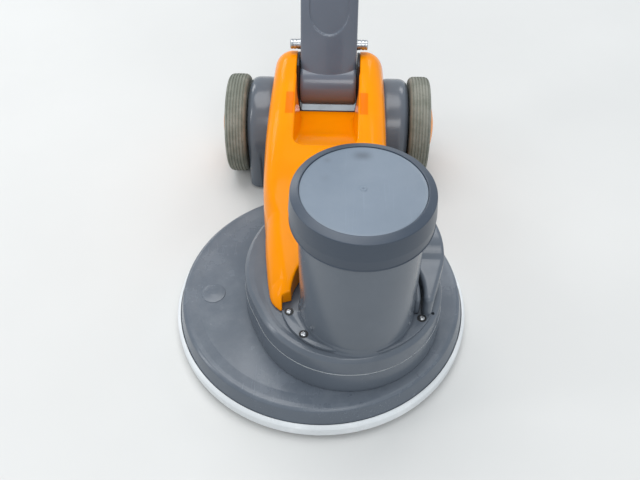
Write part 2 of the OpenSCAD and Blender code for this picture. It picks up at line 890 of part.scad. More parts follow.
module wheel_tyre_left() { wheel_tyre(-1); }
module wheel_tyre_right() { wheel_tyre(1); }
module wheel_rim_left() { wheel_rim(-1); }
module wheel_rim_right() { wheel_rim(1); }
module hubcap_left() { hubcap(-1); }
module hubcap_right() { hubcap(1); }

// ---- handle ----

// A rounded tube with a crowned front
module tube_outline(inset) {
    crown_r = 120;
    intersection() {
        translate([0, tube_back - tube_d / 2])
            rounded_rect(tube_w - 2 * inset, tube_d - 2 * inset, 12 - inset);
        translate([0, tube_back - tube_d + crown_r]) circle(crown_r - inset, $fn = 240);
    }
}

module knuckle() {
    half = tube_w / 2 + 0.5;
    color(grey) on_handle() difference() {
        union() {
            translate([-half, 0, 0]) rotate([0, 90, 0]) cylinder(r = knuckle_r, h = 2 * half);
            linear_extrude(tube_low) tube_outline(0);
            linear_extrude(cross_pin_z - 10) tube_outline(3);
        }
        translate([-60, 0, 0]) rotate([0, 90, 0]) cylinder(r = pin_r + run_gap, h = 120);
        translate([-9, 0, 0]) rotate([0, 90, 0]) cylinder(r = 27, h = 18);
        cylinder(r = 5, h = 80);
    }
}

module handle_tube() {
    color(grey) on_handle() difference() {
        translate([0, 0, tube_low]) linear_extrude(tube_top - tube_low) tube_outline(0);
        translate([0, 0, tube_low - 1]) linear_extrude(tube_top - tube_low + 2) tube_outline(3);
        difference() {
            union() {
                translate([0, tube_back - tube_d - 1, recess_z + recess_half])
                    rotate([-90, 0, 0]) cylinder(r = recess_half, h = recess_reach);
                translate([-recess_half, tube_back - tube_d - 1, recess_z + recess_half])
                    cube([2 * recess_half, recess_reach, tube_top]);
            }
            linear_extrude(2 * tube_top) tube_outline(recess_step);
        }
        translate([-60, 0, cross_pin_z]) rotate([0, 90, 0])
            cylinder(r = cross_pin_r + 0.5, h = 120);
    }
}

module cross_pin() {
    color(steel) on_handle() rotate([0, 90, 0]) translate([-cross_pin_z, 0, 0])
        difference() {
            union() {
                rod(cross_pin_r, -65, 65);
                rod(cross_pin_r + 0.5, -tube_w / 2 - 0.5, tube_w / 2 + 0.5);
            }
            rotate([0, 90, 0]) cylinder(r = 5, h = 40, center = true);
        }
}

module console_outline(inset) {
    translate([0, (console_depth[0] + console_depth[1]) / 2])
        rounded_rect(2 * (console_half - inset), console_depth[1] - console_depth[0] - 2 * inset,
                     18 - inset);
}

module console_shell() {
    difference() {
        translate([0, 0, console_low]) linear_extrude(console_high - console_low)
            console_outline(0);
        translate([0, 0, console_low + console_wall])
            linear_extrude(console_high - console_low - 2 * console_wall)
                console_outline(console_wall);
        translate([0, 0, console_low - 1]) linear_extrude(tube_top - console_low + 1)
            tube_outline(0);
        for (z = [bar_high, bar_low]) translate([-60, 0, z]) rotate([0, 90, 0])
            cylinder(r = bar_r, h = 120);
        for (side = [-1, 1]) translate([side * console_half - 6, -9, lever_z - 12])
            cube([12, 18, 26]);
        translate([0, 16, console_high - 10]) cylinder(r = 9, h = 20);
        translate([0, 20, bar_high - 30]) rotate([-90, 0, 0]) cylinder(r = 9.4, h = 30);
        translate([-13, 20, console_low - 1]) cube([26, 30, 44]);
    }
}

module console_front() {
    color(dark_grey) on_handle() intersection() {
        console_shell();
        translate([-100, -100, console_low - 50]) cube([200, 100, 400]);
    }
}

module console_rear() {
    color(dark_grey) on_handle() {
        intersection() {
            console_shell();
            translate([-100, 0, console_low - 50]) cube([200, 100, 400]);
        }
        for (x = [-lever_x, lever_x]) translate([x, 33.2, lever_z]) rotate([90, 0, 0])
            cylinder(r = lever_pin_r - run_gap, h = 44);
        for (x = [-17, 13]) translate([x, 24, tilt_pivot[1] - 6]) cube([4, 13, 12]);
        translate([-15, tilt_pivot[0], tilt_pivot[1]]) rotate([0, 90, 0])
            cylinder(r = tilt_pin_r - run_gap, h = 30);
    }
}

// One bent tube: two straight runs through the console, closed by a loop on each side
module handle_bar() {
    bend_x = bar_half - bar_r - bar_bend;
    color(grey) on_handle() {
        for (z = [bar_high, bar_low]) translate([-bend_x, 0, z]) rotate([0, 90, 0])
            cylinder(r = bar_r, h = 2 * bend_x);
        for (side = [-1, 1]) {
            translate([side * (bend_x + bar_bend), 0, bar_low + bar_bend])
                cylinder(r = bar_r, h = bar_high - bar_low - 2 * bar_bend);
            translate([side * bend_x, 0, bar_high - bar_bend]) rotate([90, 0, 0])
                rotate([0, 0, side > 0 ? 0 : 90]) rotate_extrude(angle = 90)
                    translate([bar_bend, 0]) circle(bar_r, $fn = 64);
            translate([side * bend_x, 0, bar_low + bar_bend]) rotate([90, 0, 0])
                rotate([0, 0, side > 0 ? 270 : 180]) rotate_extrude(angle = 90)
                    translate([bar_bend, 0]) circle(bar_r, $fn = 64);
        }
    }
}

module grip(side) {
    color(black) on_handle() translate([side * 56, 0, bar_high]) rotate([0, side * 90, 0])
        difference() {
            union() {
                cylinder(r = 17, h = 96);
                cylinder(r = 19, h = 4);
                translate([0, 0, 92]) cylinder(r = 19, h = 4);
            }
            translate([0, 0, -1]) cylinder(r = bar_r, h = 110);
        }
}

module grip_left() { grip(-1); }
module grip_right() { grip(1); }

module cable_gland() {
    color(black) on_handle() translate([0, 16, 0]) difference() {
        union() {
            rod(9, console_high - 8, console_high + 10);
            rod(13, console_high, console_high + 6);
            rod(11, console_high + 5, console_high + 22);
        }
        translate([0, 0, console_high - 10]) cylinder(r = 5, h = 50);
    }
}

module switch_block() {
    color(black) on_handle() {
        translate([-16, console_depth[0] + 7, bar_high - 52]) cube([32, 30, 30]);
        translate([-30, console_depth[0] + 3.1, bar_high - 56]) cube([60, 4, 38]);
    }
}

module cable_hooks() {
    color(black) on_handle() for (z = [420, 800]) translate([0, tube_back, z]) {
        rotate([-90, 0, 0]) cylinder(r = 11, h = 34);
        translate([-14, 30, z > 500 ? -8 : -34]) cube([28, 8, 42]);
    }
}

// Guides hold the brake rod on the middle line of the tube
module rod_guides() {
    color(black) on_handle() for (z = [200, 550, 860]) translate([0, 0, z]) difference() {
        linear_extrude(8) tube_outline(3);
        translate([0, 0, -1]) cylinder(r = 4.3, h = 20);
        for (x = [-28, 28]) translate([x, 0, -1]) cylinder(r = 9, h = 20, $fn = 48);
    }
}

module switch_lever(side) {
    color(orange) on_handle() translate([0, 0, lever_z]) difference() {
        union() {
            translate([side * lever_x, 8, 0]) rotate([90, 0, 0]) cylinder(r = 7, h = 16);
            translate([side > 0 ? lever_x : -lever_x - 100, -6, -4]) cube([100, 12, 8]);
            translate([side * (lever_x + 100), 6, 0]) rotate([90, 0, 0]) cylinder(r = 6, h = 12);
        }
        translate([side * lever_x, 20, 0]) rotate([90, 0, 0])
            cylinder(r = lever_pin_r, h = 40);
    }
}

module switch_lever_left() { switch_lever(-1); }
module switch_lever_right() { switch_lever(1); }

module lock_button() {
    color(orange) on_handle() translate([0, 26, bar_high - 30]) rotate([-90, 0, 0]) {
        cylinder(r = 9, h = 18);
        cylinder(r = 11, h = 3);
    }
}

module tilt_lever() {
    color(orange) on_handle() translate([0, tilt_pivot[0], tilt_pivot[1]]) difference() {
        union() {
            translate([-11, 0, 0]) rotate([0, 90, 0]) cylinder(r = 6, h = 22);
            translate([-11, 0, -4]) cube([22, 26, 8]);
            translate([-11, 20, -40]) cube([22, 6, 44]);
            for (x = [-11, 6]) translate([x, -31, -2]) cube([5, 31, 4]);
        }
        translate([-20, 0, 0]) rotate([0, 90, 0]) cylinder(r = tilt_pin_r, h = 40);
    }
}

module brake_rod() {
    color(steel) on_handle() {
        rod(4, 22.6, rod_top + 3);
        rod(10, rod_top, rod_top + 3);
    }
}

base_housing();
bumper_ring();
housing_plug();
housing_screws();
gearcase_lower();
gearcase_cover();
gearcase_bearings();
output_seal();
side_shroud();
run_capacitor();
motor_shell();
motor_flange();
flange_screws();
stator_core();
stator_windings();
motor_brackets();
motor_bearings();
motor_cap();
cap_inlay();
chassis_frame();
hood();
axle();
axle_clips();
fork_brackets();
pivot_pin();
brake_sector();
wheel_tyre_left();
wheel_tyre_right();
wheel_rim_left();
wheel_rim_right();
hubcap_left();
hubcap_right();
output_shaft();
output_gear();
clutch_hub();
pad_driver();
grinding_plate();
diamond_segments();
idler_shaft();
idler_gear();
rotor_shaft();
rotor_core();
cooling_fan();
knuckle();
handle_tube();
cross_pin();
console_front();
console_rear();
handle_bar();
grip_left();
grip_right();
cable_gland();
switch_block();
cable_hooks();
rod_guides();
switch_lever_left();
switch_lever_right();
lock_button();
tilt_lever();
brake_rod();
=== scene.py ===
"""The looks of a single-disc floor grinder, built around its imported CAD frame.

Shapes are written in millimetres in the head's own frame: X and Y from the disc axis, Z from the
floor. add_mesh() turns them into metres in the row frame.
"""
import json
import math

import bmesh
import bpy
import numpy as np
from mathutils import Matrix, Vector


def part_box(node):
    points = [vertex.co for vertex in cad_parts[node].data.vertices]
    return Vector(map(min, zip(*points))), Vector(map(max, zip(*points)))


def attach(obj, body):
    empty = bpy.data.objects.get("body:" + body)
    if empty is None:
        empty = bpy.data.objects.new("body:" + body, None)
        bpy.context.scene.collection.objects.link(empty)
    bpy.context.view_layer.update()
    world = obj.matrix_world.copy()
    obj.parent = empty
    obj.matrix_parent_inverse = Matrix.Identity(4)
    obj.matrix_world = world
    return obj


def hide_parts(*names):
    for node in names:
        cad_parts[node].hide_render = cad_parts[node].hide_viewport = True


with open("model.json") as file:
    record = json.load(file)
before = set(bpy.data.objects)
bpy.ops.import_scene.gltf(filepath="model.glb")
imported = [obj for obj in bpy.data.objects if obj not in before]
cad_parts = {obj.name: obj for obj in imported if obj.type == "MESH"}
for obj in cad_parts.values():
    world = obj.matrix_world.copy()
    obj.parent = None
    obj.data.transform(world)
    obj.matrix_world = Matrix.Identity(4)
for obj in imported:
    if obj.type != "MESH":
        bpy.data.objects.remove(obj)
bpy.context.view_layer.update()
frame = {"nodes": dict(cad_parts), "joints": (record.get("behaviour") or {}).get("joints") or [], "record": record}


# ---------------------------------------------------------------- measures from the frame

def box_mm(node):
    least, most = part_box(node)
    return np.array(least) * 1000, np.array(most) * 1000


def middle(node):
    least, most = box_mm(node)
    return (least + most) / 2


def joint(name):
    return next(j for j in frame["joints"] if j["name"] == name)


DISC = middle("grinding_plate") * [1, 1, 0]


def low(node):
    return box_mm(node)[0] - DISC


def high(node):
    return box_mm(node)[1] - DISC


def centre(node):
    return middle(node) - DISC


BUMPER_R = (high("bumper_ring") - low("bumper_ring"))[0] / 2
HOUSING_R = high("base_housing")[0]
HOUSING_WALL = 4.5
PLUG = centre("housing_plug")[:2]
CASE = centre("housing_screws")[:2]
CASE_R = high("gearcase_lower")[0] - CASE[0]
CASE_TOP = high("gearcase_cover")[2]
CASE_DRAFT = 3.5
PARTING = low("gearcase_cover")[2]
BOSS_LOW = low("gearcase_lower")[2]
DECK = BOSS_LOW + 10.4
SWELL = np.array([47.5, -5.0])
SWELL_R = SWELL[0] - low("gearcase_lower")[0]
SWELL_END = 80
IDLER = centre("idler_shaft")[:2]
MOTOR = centre("motor_shell")[:2]
MOTOR_R = (high("motor_shell") - low("motor_shell"))[0] / 2
CAP_LOW, CAP_TOP = low("motor_cap")[2], high("motor_cap")[2]
CAP_R = (high("motor_cap") - low("motor_cap"))[0] / 2
AXLE = centre("axle")
TYRE_R = (high("wheel_tyre_left") - low("wheel_tyre_left"))[2] / 2
TYRE_IN, TYRE_OUT = low("wheel_tyre_right")[0], high("wheel_tyre_right")[0]
PIVOT = np.array(joint("handle_tilt")["pos_m"]) * 1000 - DISC
LEAN = math.atan2(joint("brake_rod_lift")["axis"][1], joint("brake_rod_lift")["axis"][2])
FLANGE_TOP = high("motor_flange")[2]
HOOD_TOP = high("hood")[2]
HOOD_LOW = low("hood")[2]
HOOD_REAR = high("hood")[1]
HOOD_HALF = high("hood")[0]
ARCH_R = high("chassis_frame")[2] - AXLE[2]
ARCH_HALF = high("chassis_frame")[0]
ARCH_LOW = low("chassis_frame")[2]


def along_handle(node):
    """Lowest and highest distance of a node's corners along the handle, from its pivot."""
    pts = np.array([v.co for v in frame["nodes"][node].data.vertices]) * 1000 - DISC - PIVOT
    reach = pts[:, 1] * math.sin(LEAN) + pts[:, 2] * math.cos(LEAN)
    return reach.min(), reach.max()


# ---------------------------------------------------------------- mesh helpers

def from_handle(p):
    """Points of the handle's own frame, Z up the tube from the pivot, in the head's frame."""
    x, y, z = np.asarray(p, float).T
    c, s = math.cos(LEAN), math.sin(LEAN)
    return np.stack([x, y * c + z * s, -y * s + z * c], axis=1) + PIVOT


def from_wheel(side):
    """Z runs outwards along the axle from the tyre's inner face on that side."""
    def turn(p):
        x, y, z = np.asarray(p, float).T
        return np.stack([side * (z + TYRE_IN), side * x, y], axis=1) + AXLE * [0, 1, 1]
    return turn


def shifted(x, y):
    return lambda p: np.asarray(p, float) + [x, y, 0]


def turned(at, degrees):
    """Turns points about Z, then sets them round a point of the plan."""
    c, s = math.cos(math.radians(degrees)), math.sin(math.radians(degrees))
    return lambda p: np.stack([at[0] + p[:, 0] * c - p[:, 1] * s,
                               at[1] + p[:, 0] * s + p[:, 1] * c, p[:, 2]], axis=1)


def linked(name, data):
    """A new object of the scene."""
    obj = bpy.data.objects.new(name, data)
    bpy.context.scene.collection.objects.link(obj)
    return obj


def add_mesh(name, points, faces, turn=None, sharp=None):
    """An object from points in millimetres, moved by turn into the head's frame."""
    points = np.asarray(points, float)
    if turn is not None:
        points = turn(points)
    mesh = bpy.data.meshes.new(name)
    mesh.from_pydata(((points + DISC) / 1000).tolist(), [], faces)
    mesh.shade_smooth()
    if sharp:
        mesh.set_sharp_from_angle(angle=math.radians(sharp))
    return linked(name, mesh)


def rounded(corners, steps=6):
    """A closed outline from (a, b, radius) corners, each turned into an arc."""
    out = []
    count = len(corners)
    for i, (a, b, r) in enumerate(corners):
        here = np.array([a, b], float)
        if r <= 0:
            out.append(tuple(here))
            continue
        back = np.array(corners[i - 1][:2], float) - here
        ahead = np.array(corners[(i + 1) % count][:2], float) - here
        back_len, ahead_len = np.linalg.norm(back), np.linalg.norm(ahead)
        back, ahead = back / back_len, ahead / ahead_len
        half = math.acos(np.clip(back @ ahead, -1, 1)) / 2
        cut = min(r / math.tan(half), back_len * 0.49, ahead_len * 0.49)
        radius = cut * math.tan(half)
        mid = here + (back + ahead) / np.linalg.norm(back + ahead) * radius / math.sin(half)
        start = here + back * cut - mid
        sweep = math.pi - 2 * half
        turn = 1 if start[0] * (ahead @ [0, 1]) - start[1] * ahead[0] > 0 else -1
        for k in range(steps + 1):
            t = turn * sweep * k / steps
            out.append((mid[0] + start[0] * math.cos(t) - start[1] * math.sin(t),
                        mid[1] + start[0] * math.sin(t) + start[1] * math.cos(t)))
    return out


def lathe(name, outline, turn=None, segments=192, sharp=40):
    """Spins a closed (radius, height) outline about Z."""
    outline = [(max(r, 0.0), z) for r, z in outline]
    angles = np.arange(segments) * 2 * math.pi / segments
    points, rows = [], []
    for r, z in outline:
        if r < 1e-6:
            rows.append([len(points)] * segments)
            points.append((0, 0, z))
        else:
            rows.append(list(range(len(points), len(points) + segments)))
            points.extend((r * math.cos(a), r * math.sin(a), z) for a in angles)
    faces = []
    for i, row in enumerate(rows):
        after = rows[(i + 1) % len(rows)]
        if outline[i][0] < 1e-6 and outline[(i + 1) % len(rows)][0] < 1e-6:
            continue
        for k in range(segments):
            n = (k + 1) % segments
            quad = [row[k], row[n], after[n], after[k]]
            faces.append(list(dict.fromkeys(quad)))
    obj = add_mesh(name, points, faces, turn, sharp)
    face_outwards(obj)
    return obj


def face_outwards(obj):
    """Closes the seams of a mesh and turns its faces to the outside."""
    bm = bmesh.new()
    bm.from_mesh(obj.data)
    bmesh.ops.remove_doubles(bm, verts=bm.verts, dist=1e-7)
    bmesh.ops.recalc_face_normals(bm, faces=bm.faces)
    bm.to_mesh(obj.data)
    bm.free()


def joined(name, *parts):
    """One object from several, with their faces kept as they are."""
    bm = bmesh.new()
    for part in parts:
        bm.from_mesh(part.data)
        bpy.data.objects.remove(part)
    mesh = bpy.data.meshes.new(name)
    bm.to_mesh(mesh)
    bm.free()
    mesh.set_sharp_from_angle(angle=math.radians(40))
    return linked(name, mesh)


def baked(obj):
    """The object with its modifiers made part of its mesh."""
    view = bpy.context.evaluated_depsgraph_get()
    mesh = bpy.data.meshes.new_from_object(obj.evaluated_get(view))
    obj.modifiers.clear()
    obj.data = mesh
    return obj


def peg(x, y, r, low_z, high_z, segments=96):
    """An upright cylinder, for cutting."""
    return lathe("peg", [(0, low_z), (r, low_z), (r, high_z), (0, high_z)], shifted(x, y),
                 segments)


def bored(obj, *cutters):
    """Cuts each cutter out of the object."""
    for cutter in cutters:
        tool = obj.modifiers.new("cut", "BOOLEAN")
        tool.operation, tool.solver, tool.object = "DIFFERENCE", "EXACT", cutter
    baked(obj)
    for cutter in cutters:
        bpy.data.objects.remove(cutter)
    obj.data.set_sharp_from_angle(angle=math.radians(40))
    return obj


def box_mesh(lo, hi, turn):
    corners = [(x, y, z) for x in (lo[0], hi[0]) for y in (lo[1], hi[1]) for z in (lo[2], hi[2])]
    faces = [(0, 1, 3, 2), (4, 6, 7, 5), (0, 4, 5, 1), (2, 3, 7, 6), (0, 2, 6, 4), (1, 5, 7, 3)]
    return add_mesh("box", corners, faces, turn)


def softened(node, width):
    """A copy of a CAD node with its sharp edges rounded, which then stands for it."""
    bm = bmesh.new()
    bm.from_mesh(frame["nodes"][node].data)
    bmesh.ops.remove_doubles(bm, verts=bm.verts, dist=1e-6)
    bmesh.ops.dissolve_limit(bm, angle_limit=math.radians(0.6), verts=bm.verts, edges=bm.edges)
    mesh = bpy.data.meshes.new(node + "_soft")
    bm.to_mesh(mesh)
    bm.free()
    mesh.shade_smooth()
    obj = linked(node + "_soft", mesh)
    edge = obj.modifiers.new("edge", "BEVEL")
    edge.width, edge.segments = width / 1000, 2
    edge.limit_method, edge.angle_limit = "ANGLE", math.radians(35)
    edge.harden_normals = False
    baked(obj)
    obj.data.set_sharp_from_angle(angle=math.radians(32))
    return stands_for(obj, node)


# ---------------------------------------------------------------- solids from distance fields

def smooth(points, steps):
    """A curve through the points, for outlines."""
    p = [np.array(q, float) for q in points]
    out = []
    for i in range(len(p) - 1):
        a, b, c, d = p[max(i - 1, 0)], p[i], p[i + 1], p[min(i + 2, len(p) - 1)]
        for t in np.arange(steps) / steps:
            out.append((2 * b + (c - a) * t + (2 * a - 5 * b + 4 * c - d) * t ** 2
                        + (3 * b - a - 3 * c + d) * t ** 3) / 2)
    return out + [p[-1]]


def polar(at, r, degrees):
    """The point at a distance and an angle from another one, in a plane."""
    angle = math.radians(degrees)
    return (at[0] + r * math.cos(angle), at[1] + r * math.sin(angle))


def polygon(x, y, points):
    """Signed distance to a closed outline in the plane."""
    p = np.asarray(points, float)
    dist = (x - p[0][0]) ** 2 + (y - p[0][1]) ** 2
    inside = np.zeros(np.broadcast(x, y).shape, bool)
    for a, b in zip(p, np.roll(p, 1, axis=0)):
        ex, ey = b - a
        wx, wy = x - a[0], y - a[1]
        t = np.clip((wx * ex + wy * ey) / max(ex * ex + ey * ey, 1e-9), 0, 1)
        dist = np.minimum(dist, (wx - ex * t) ** 2 + (wy - ey * t) ** 2)
        above_a, below_b, left = y >= a[1], y < b[1], ex * wy > ey * wx
        inside ^= (above_a & below_b & left) | (~above_a & ~below_b & ~left)
    return np.where(inside, -1, 1) * np.sqrt(dist)


def rect(x, y, half_x, half_y, r=0.0):
    """Signed distance to a rectangle with rounded corners."""
    qx, qy = np.abs(x) - half_x + r, np.abs(y) - half_y + r
    outside = np.sqrt(np.maximum(qx, 0) ** 2 + np.maximum(qy, 0) ** 2)
    return outside + np.minimum(np.maximum(qx, qy), 0) - r


def block(x, y, z, lo, hi, r=0.0):
    """Signed distance to a box between two corners, with rounded edges."""
    mid, half = (np.array(lo) + hi) / 2, (np.array(hi, float) - lo) / 2
    q = [np.abs(v - m) - h + r for v, m, h in zip((x, y, z), mid, half)]
    outside = np.sqrt(sum(np.maximum(c, 0) ** 2 for c in q))
    return outside + np.minimum(np.maximum(np.maximum(q[0], q[1]), q[2]), 0) - r


def slab(d, z, lo, hi):
    """An outline's distance d, held between two heights."""
    return np.maximum(d, np.abs(z - (lo + hi) / 2) - (hi - lo) / 2)


def both(a, b, k=0.0):
    """Where both are, with the edge between them rounded over k."""
    if k <= 0:
        return np.maximum(a, b)
    h = np.maximum(k - np.abs(a - b), 0) / k
    return np.maximum(a, b) + h * h * k / 4


def either(a, b, k=0.0):
    """Where one of the two is."""
    return -both(-a, -b, k)


def without(a, b, k=0.0):
    """Where a is and b is not."""
    return both(a, -b, k)


def upright_drum(x, y, at, r):
    """Signed distance to a circle round a point of the plan."""
    return np.hypot(x - at[0], y - at[1]) - r


def along_x(y, z, at, r):
    """Signed distance to a cylinder that runs along X through a point."""
    return np.hypot(y - at[1], z - at[2]) - r


def cells_to_mesh(field, lo, hi, size):
    """Quads on the zero surface of a field, one corner for each cell that it crosses."""
    axes = [np.arange(a, b + s, s) for a, b, s in zip(lo, hi, size)]
    value = field(axes[0][:, None, None], axes[1][None, :, None], axes[2][None, None, :])
    value = np.broadcast_to(value, [len(a) for a in axes]).astype(np.float32)
    value = np.where(value == 0, 1e-6, value)
    shape = np.array(value.shape) - 1
    total = int(np.prod(shape))
    sums = np.zeros((total, 3))
    count = np.zeros(total)
    quads = []
    for a in range(3):
        b, c = (a + 1) % 3, (a + 2) % 3
        first = np.take(value, range(shape[a]), axis=a)
        second = np.take(value, range(1, shape[a] + 1), axis=a)
        at = np.array(np.nonzero((first < 0) != (second < 0)))
        v0, v1 = first[tuple(at)], second[tuple(at)]
        spot = at.astype(float).T
        spot[:, a] += v0 / (v0 - v1)
        corners = []
        for db, dc in ((-1, -1), (0, -1), (0, 0), (-1, 0)):
            cell = at.copy()
            cell[b] += db
            cell[c] += dc
            good = ((cell >= 0) & (cell < shape[:, None])).all(axis=0)
            flat = np.where(good, (cell[0] * shape[1] + cell[1]) * shape[2] + cell[2], -1)
            count += np.bincount(flat[good], minlength=total)
            for k in range(3):
                sums[:, k] += np.bincount(flat[good], weights=spot[good, k], minlength=total)
            corners.append(flat)
        quad = np.stack(corners, axis=1)
        quad = np.where((v0 < 0)[:, None], quad, quad[:, ::-1])
        quads.append(quad[(quad >= 0).all(axis=1)])
    used = np.nonzero(count)[0]
    number = np.full(total, -1)
    number[used] = np.arange(len(used))
    points = sums[used] / count[used, None] * size + [a[0] for a in axes]
    return points, number[np.concatenate(quads)]


def solid(name, field, lo, hi, size, turn=None):
    """A closed mesh of the space where the field is below zero, in millimetres."""
    size = np.broadcast_to(np.asarray(size, float) * (1), 3)
    points, quads = cells_to_mesh(field, np.array(lo) - 2 * size, np.array(hi) + 2 * size, size)
    nudge = 0.25
    for _ in range(3):
        x, y, z = points.T
        value = field(x, y, z)
        slope = np.stack([
            field(x + nudge, y, z) - field(x - nudge, y, z),
            field(x, y + nudge, z) - field(x, y - nudge, z),
            field(x, y, z + nudge) - field(x, y, z - nudge)], axis=1) / (2 * nudge)
        step = slope * (value / np.maximum((slope ** 2).sum(axis=1), 0.2))[:, None]
        reach = np.linalg.norm(step, axis=1, keepdims=True)
        points = points - step * np.minimum(1, 0.5 * size.min() / np.maximum(reach, 1e-9))
    return add_mesh(name, points, quads.tolist(), turn)


# ---------------------------------------------------------------- materials

def linear(r, g, b):
    """A screen colour, 0 to 255 each, as the linear colour that a shader takes."""
    out = []
    for v in (r, g, b):
        v = v / 255
        out.append(v / 12.92 if v <= 0.04045 else ((v + 0.055) / 1.055) ** 2.4)
    return (*out, 1.0)


class Graph:
    """A material's nodes, made and joined in one call each."""

    def __init__(self, name):
        self.material = bpy.data.materials.new(name)
        self.material.use_nodes = True
        self.tree = self.material.node_tree
        self.shader = self.tree.nodes["Principled BSDF"]
        self.place = self.node("ShaderNodeTexCoord").outputs["Object"]

    def node(self, kind, settings=None, **inputs):
        """A new shader node. Its inputs go by name, or by number as i0, i1 and so on."""
        made = self.tree.nodes.new(kind)
        for key, value in (settings or {}).items():
            setattr(made, key, value)
        for key, value in inputs.items():
            self.set(made.inputs[int(key[1:])] if key[0] == "i" and key[1:].isdigit()
                     else made.inputs[key], value)
        return made

    def set(self, socket, value):
        if isinstance(value, bpy.types.NodeSocket):
            self.tree.links.new(value, socket)
        else:
            socket.default_value = value

    def stretched(self, scale, turn=(0, 0, 0)):
        made = self.node("ShaderNodeMapping", Vector=self.place)
        made.inputs["Scale"].default_value = scale
        made.inputs["Rotation"].default_value = [math.radians(a) for a in turn]
        return made.outputs["Vector"]

    def noise(self, scale, detail=3.0, rough=0.5, where=None):
        made = self.node("ShaderNodeTexNoise", Vector=where or self.place, Scale=scale,
                         Detail=detail, Roughness=rough)
        return made.outputs["Fac"]

    def ramp(self, value, below, above, start=0.0, end=1.0):
        made = self.node("ShaderNodeMapRange", {"interpolation_type": "SMOOTHSTEP"}, i0=value,
                         i1=below, i2=above, i3=start, i4=end)
        return made.outputs[0]

    def math(self, kind, a, b=0.0):
        return self.node("ShaderNodeMath", {"operation": kind}, i0=a, i1=b).outputs[0]

    def mix(self, factor, a, b):
        made = self.node("ShaderNodeMix", {"data_type": "RGBA"})
        self.set(made.inputs[0], factor)
        self.set(made.inputs[6], a)
        self.set(made.inputs[7], b)
        return made.outputs[2]

    def blend(self, factor, a, b):
        made = self.node("ShaderNodeMix", {"data_type": "FLOAT"})
        self.set(made.inputs[0], factor)
        self.set(made.inputs[2], a)
        self.set(made.inputs[3], b)
        return made.outputs[0]

    def bump(self, height, strength, distance=0.001):
        made = self.node("ShaderNodeBump", Height=height, Strength=strength, Distance=distance)
        self.set(self.shader.inputs["Normal"], made.outputs["Normal"])

    def facing_up(self):
        normal = self.node("ShaderNodeNewGeometry").outputs["Normal"]
        return self.node("ShaderNodeSeparateXYZ", Vector=normal).outputs["Z"]

    def finish(self, color, rough, **fixed):
        self.set(self.shader.inputs["Base Color"], color)
        self.set(self.shader.inputs["Roughness"], rough)
        for key, value in fixed.items():
            self.shader.inputs[key.replace("_", " ")].default_value = value
        return self.material


def scratches(g, scale, turn, amount):
    """Thin lines in one direction, only where a slow noise lets them through."""
    lines = g.noise(1.0, 2.0, 0.6, g.stretched((scale, scale * 0.03, scale), turn))
    patches = g.noise(9.0, 2.0)
    thin = g.ramp(lines, 0.64, 0.70)
    return g.math("MULTIPLY", g.math("MULTIPLY", thin, g.ramp(patches, 0.45, 0.62)), amount)


def window(g, near, far, soft):
    """1 between two corners of the plan, in metres, fading over its edges."""
    xyz = g.node("ShaderNodeSeparateXYZ", Vector=g.place)
    inside = 1.0
    for axis, lo, hi in zip("XY", near, far):
        v = xyz.outputs[axis]
        inside = g.math("MULTIPLY", inside, g.ramp(v, lo - soft, lo + soft))
        inside = g.math("MULTIPLY", inside, g.ramp(v, hi - soft, hi + soft, 1.0, 0.0))
    return inside


def moulded(name, color, rough, worn=0.5, dust=0.3, grain=0.15, shine_level=0.5,
            dusty=(178, 182, 186), dark_patches=()):
    """Moulded plastic: slow colour drift, smudges, scratches both ways, dust on top faces.

    Each dark patch is a near corner, a far corner, the softness of its edge, a strength and a colour.
    """
    g = Graph(name)
    base = linear(*color)
    deep = tuple(c * 0.82 for c in base[:3]) + (1.0,)
    light = tuple(min(c * 1.25 + 0.01, 1) for c in base[:3]) + (1.0,)
    drift = g.ramp(g.noise(5.0, 4.0), 0.3, 0.7)
    tone = g.mix(drift, deep, base)
    smudge = g.ramp(g.noise(28.0, 5.0, 0.65), 0.5, 0.75)
    tone = g.mix(g.math("MULTIPLY", smudge, 0.35 * worn), tone, light)
    marks = g.math("ADD", scratches(g, 420.0, (0, 0, 24), worn),
                   scratches(g, 350.0, (15, 40, -61), worn * 0.7))
    tone = g.mix(g.math("MULTIPLY", marks, 0.5), tone, light)
    settled = g.math("MULTIPLY", g.ramp(g.facing_up(), 0.55, 0.98),
                     g.ramp(g.noise(13.0, 6.0, 0.7), 0.36, 0.72))
    settled = g.math("MULTIPLY", settled, dust)
    tone = g.mix(settled, tone, linear(*dusty))
    for near, far, soft, strength, patch_colour in dark_patches:
        spot = g.math("MULTIPLY", window(g, near, far, soft), strength)
        tone = g.mix(spot, tone, linear(*patch_colour))
    shine = g.blend(drift, rough * 0.86, rough * 1.12)
    shine = g.math("ADD", shine, g.math("MULTIPLY", smudge, 0.10 * worn))
    shine = g.math("ADD", shine, g.math("MULTIPLY", settled, 0.35))
    shine = g.math("ADD", shine, g.math("MULTIPLY", marks, 0.15))
    fine = g.noise(1400.0, 2.0)
    height = g.math("SUBTRACT", g.math("MULTIPLY", fine, grain), g.math("MULTIPLY", marks, 0.5))
    g.bump(height, 0.35, 0.0004)
    return g.finish(tone, shine, Specular_IOR_Level=shine_level)


def metal(name, color, rough, streak=0.5, grime=0.25, turn=(0, 0, 0)):
    """Bare or plated metal with drawn streaks and thin grime."""
    g = Graph(name)
    base = linear(*color)
    lines = g.noise(1.0, 4.0, 0.7, g.stretched((900.0, 30.0, 30.0), turn))
    film = g.ramp(g.noise(40.0, 5.0, 0.6), 0.45, 0.75)
    tone = g.mix(g.math("MULTIPLY", film, grime), base, linear(70, 66, 60))
    tone = g.mix(g.math("MULTIPLY", lines, 0.25 * streak), tone, linear(225, 226, 228))
    shine = g.blend(lines, rough * 0.75, rough * 1.3)
    shine = g.math("ADD", shine, g.math("MULTIPLY", film, 0.2 * grime))
    g.bump(lines, 0.15 * streak, 0.0004)
    return g.finish(tone, shine, Metallic=1.0)


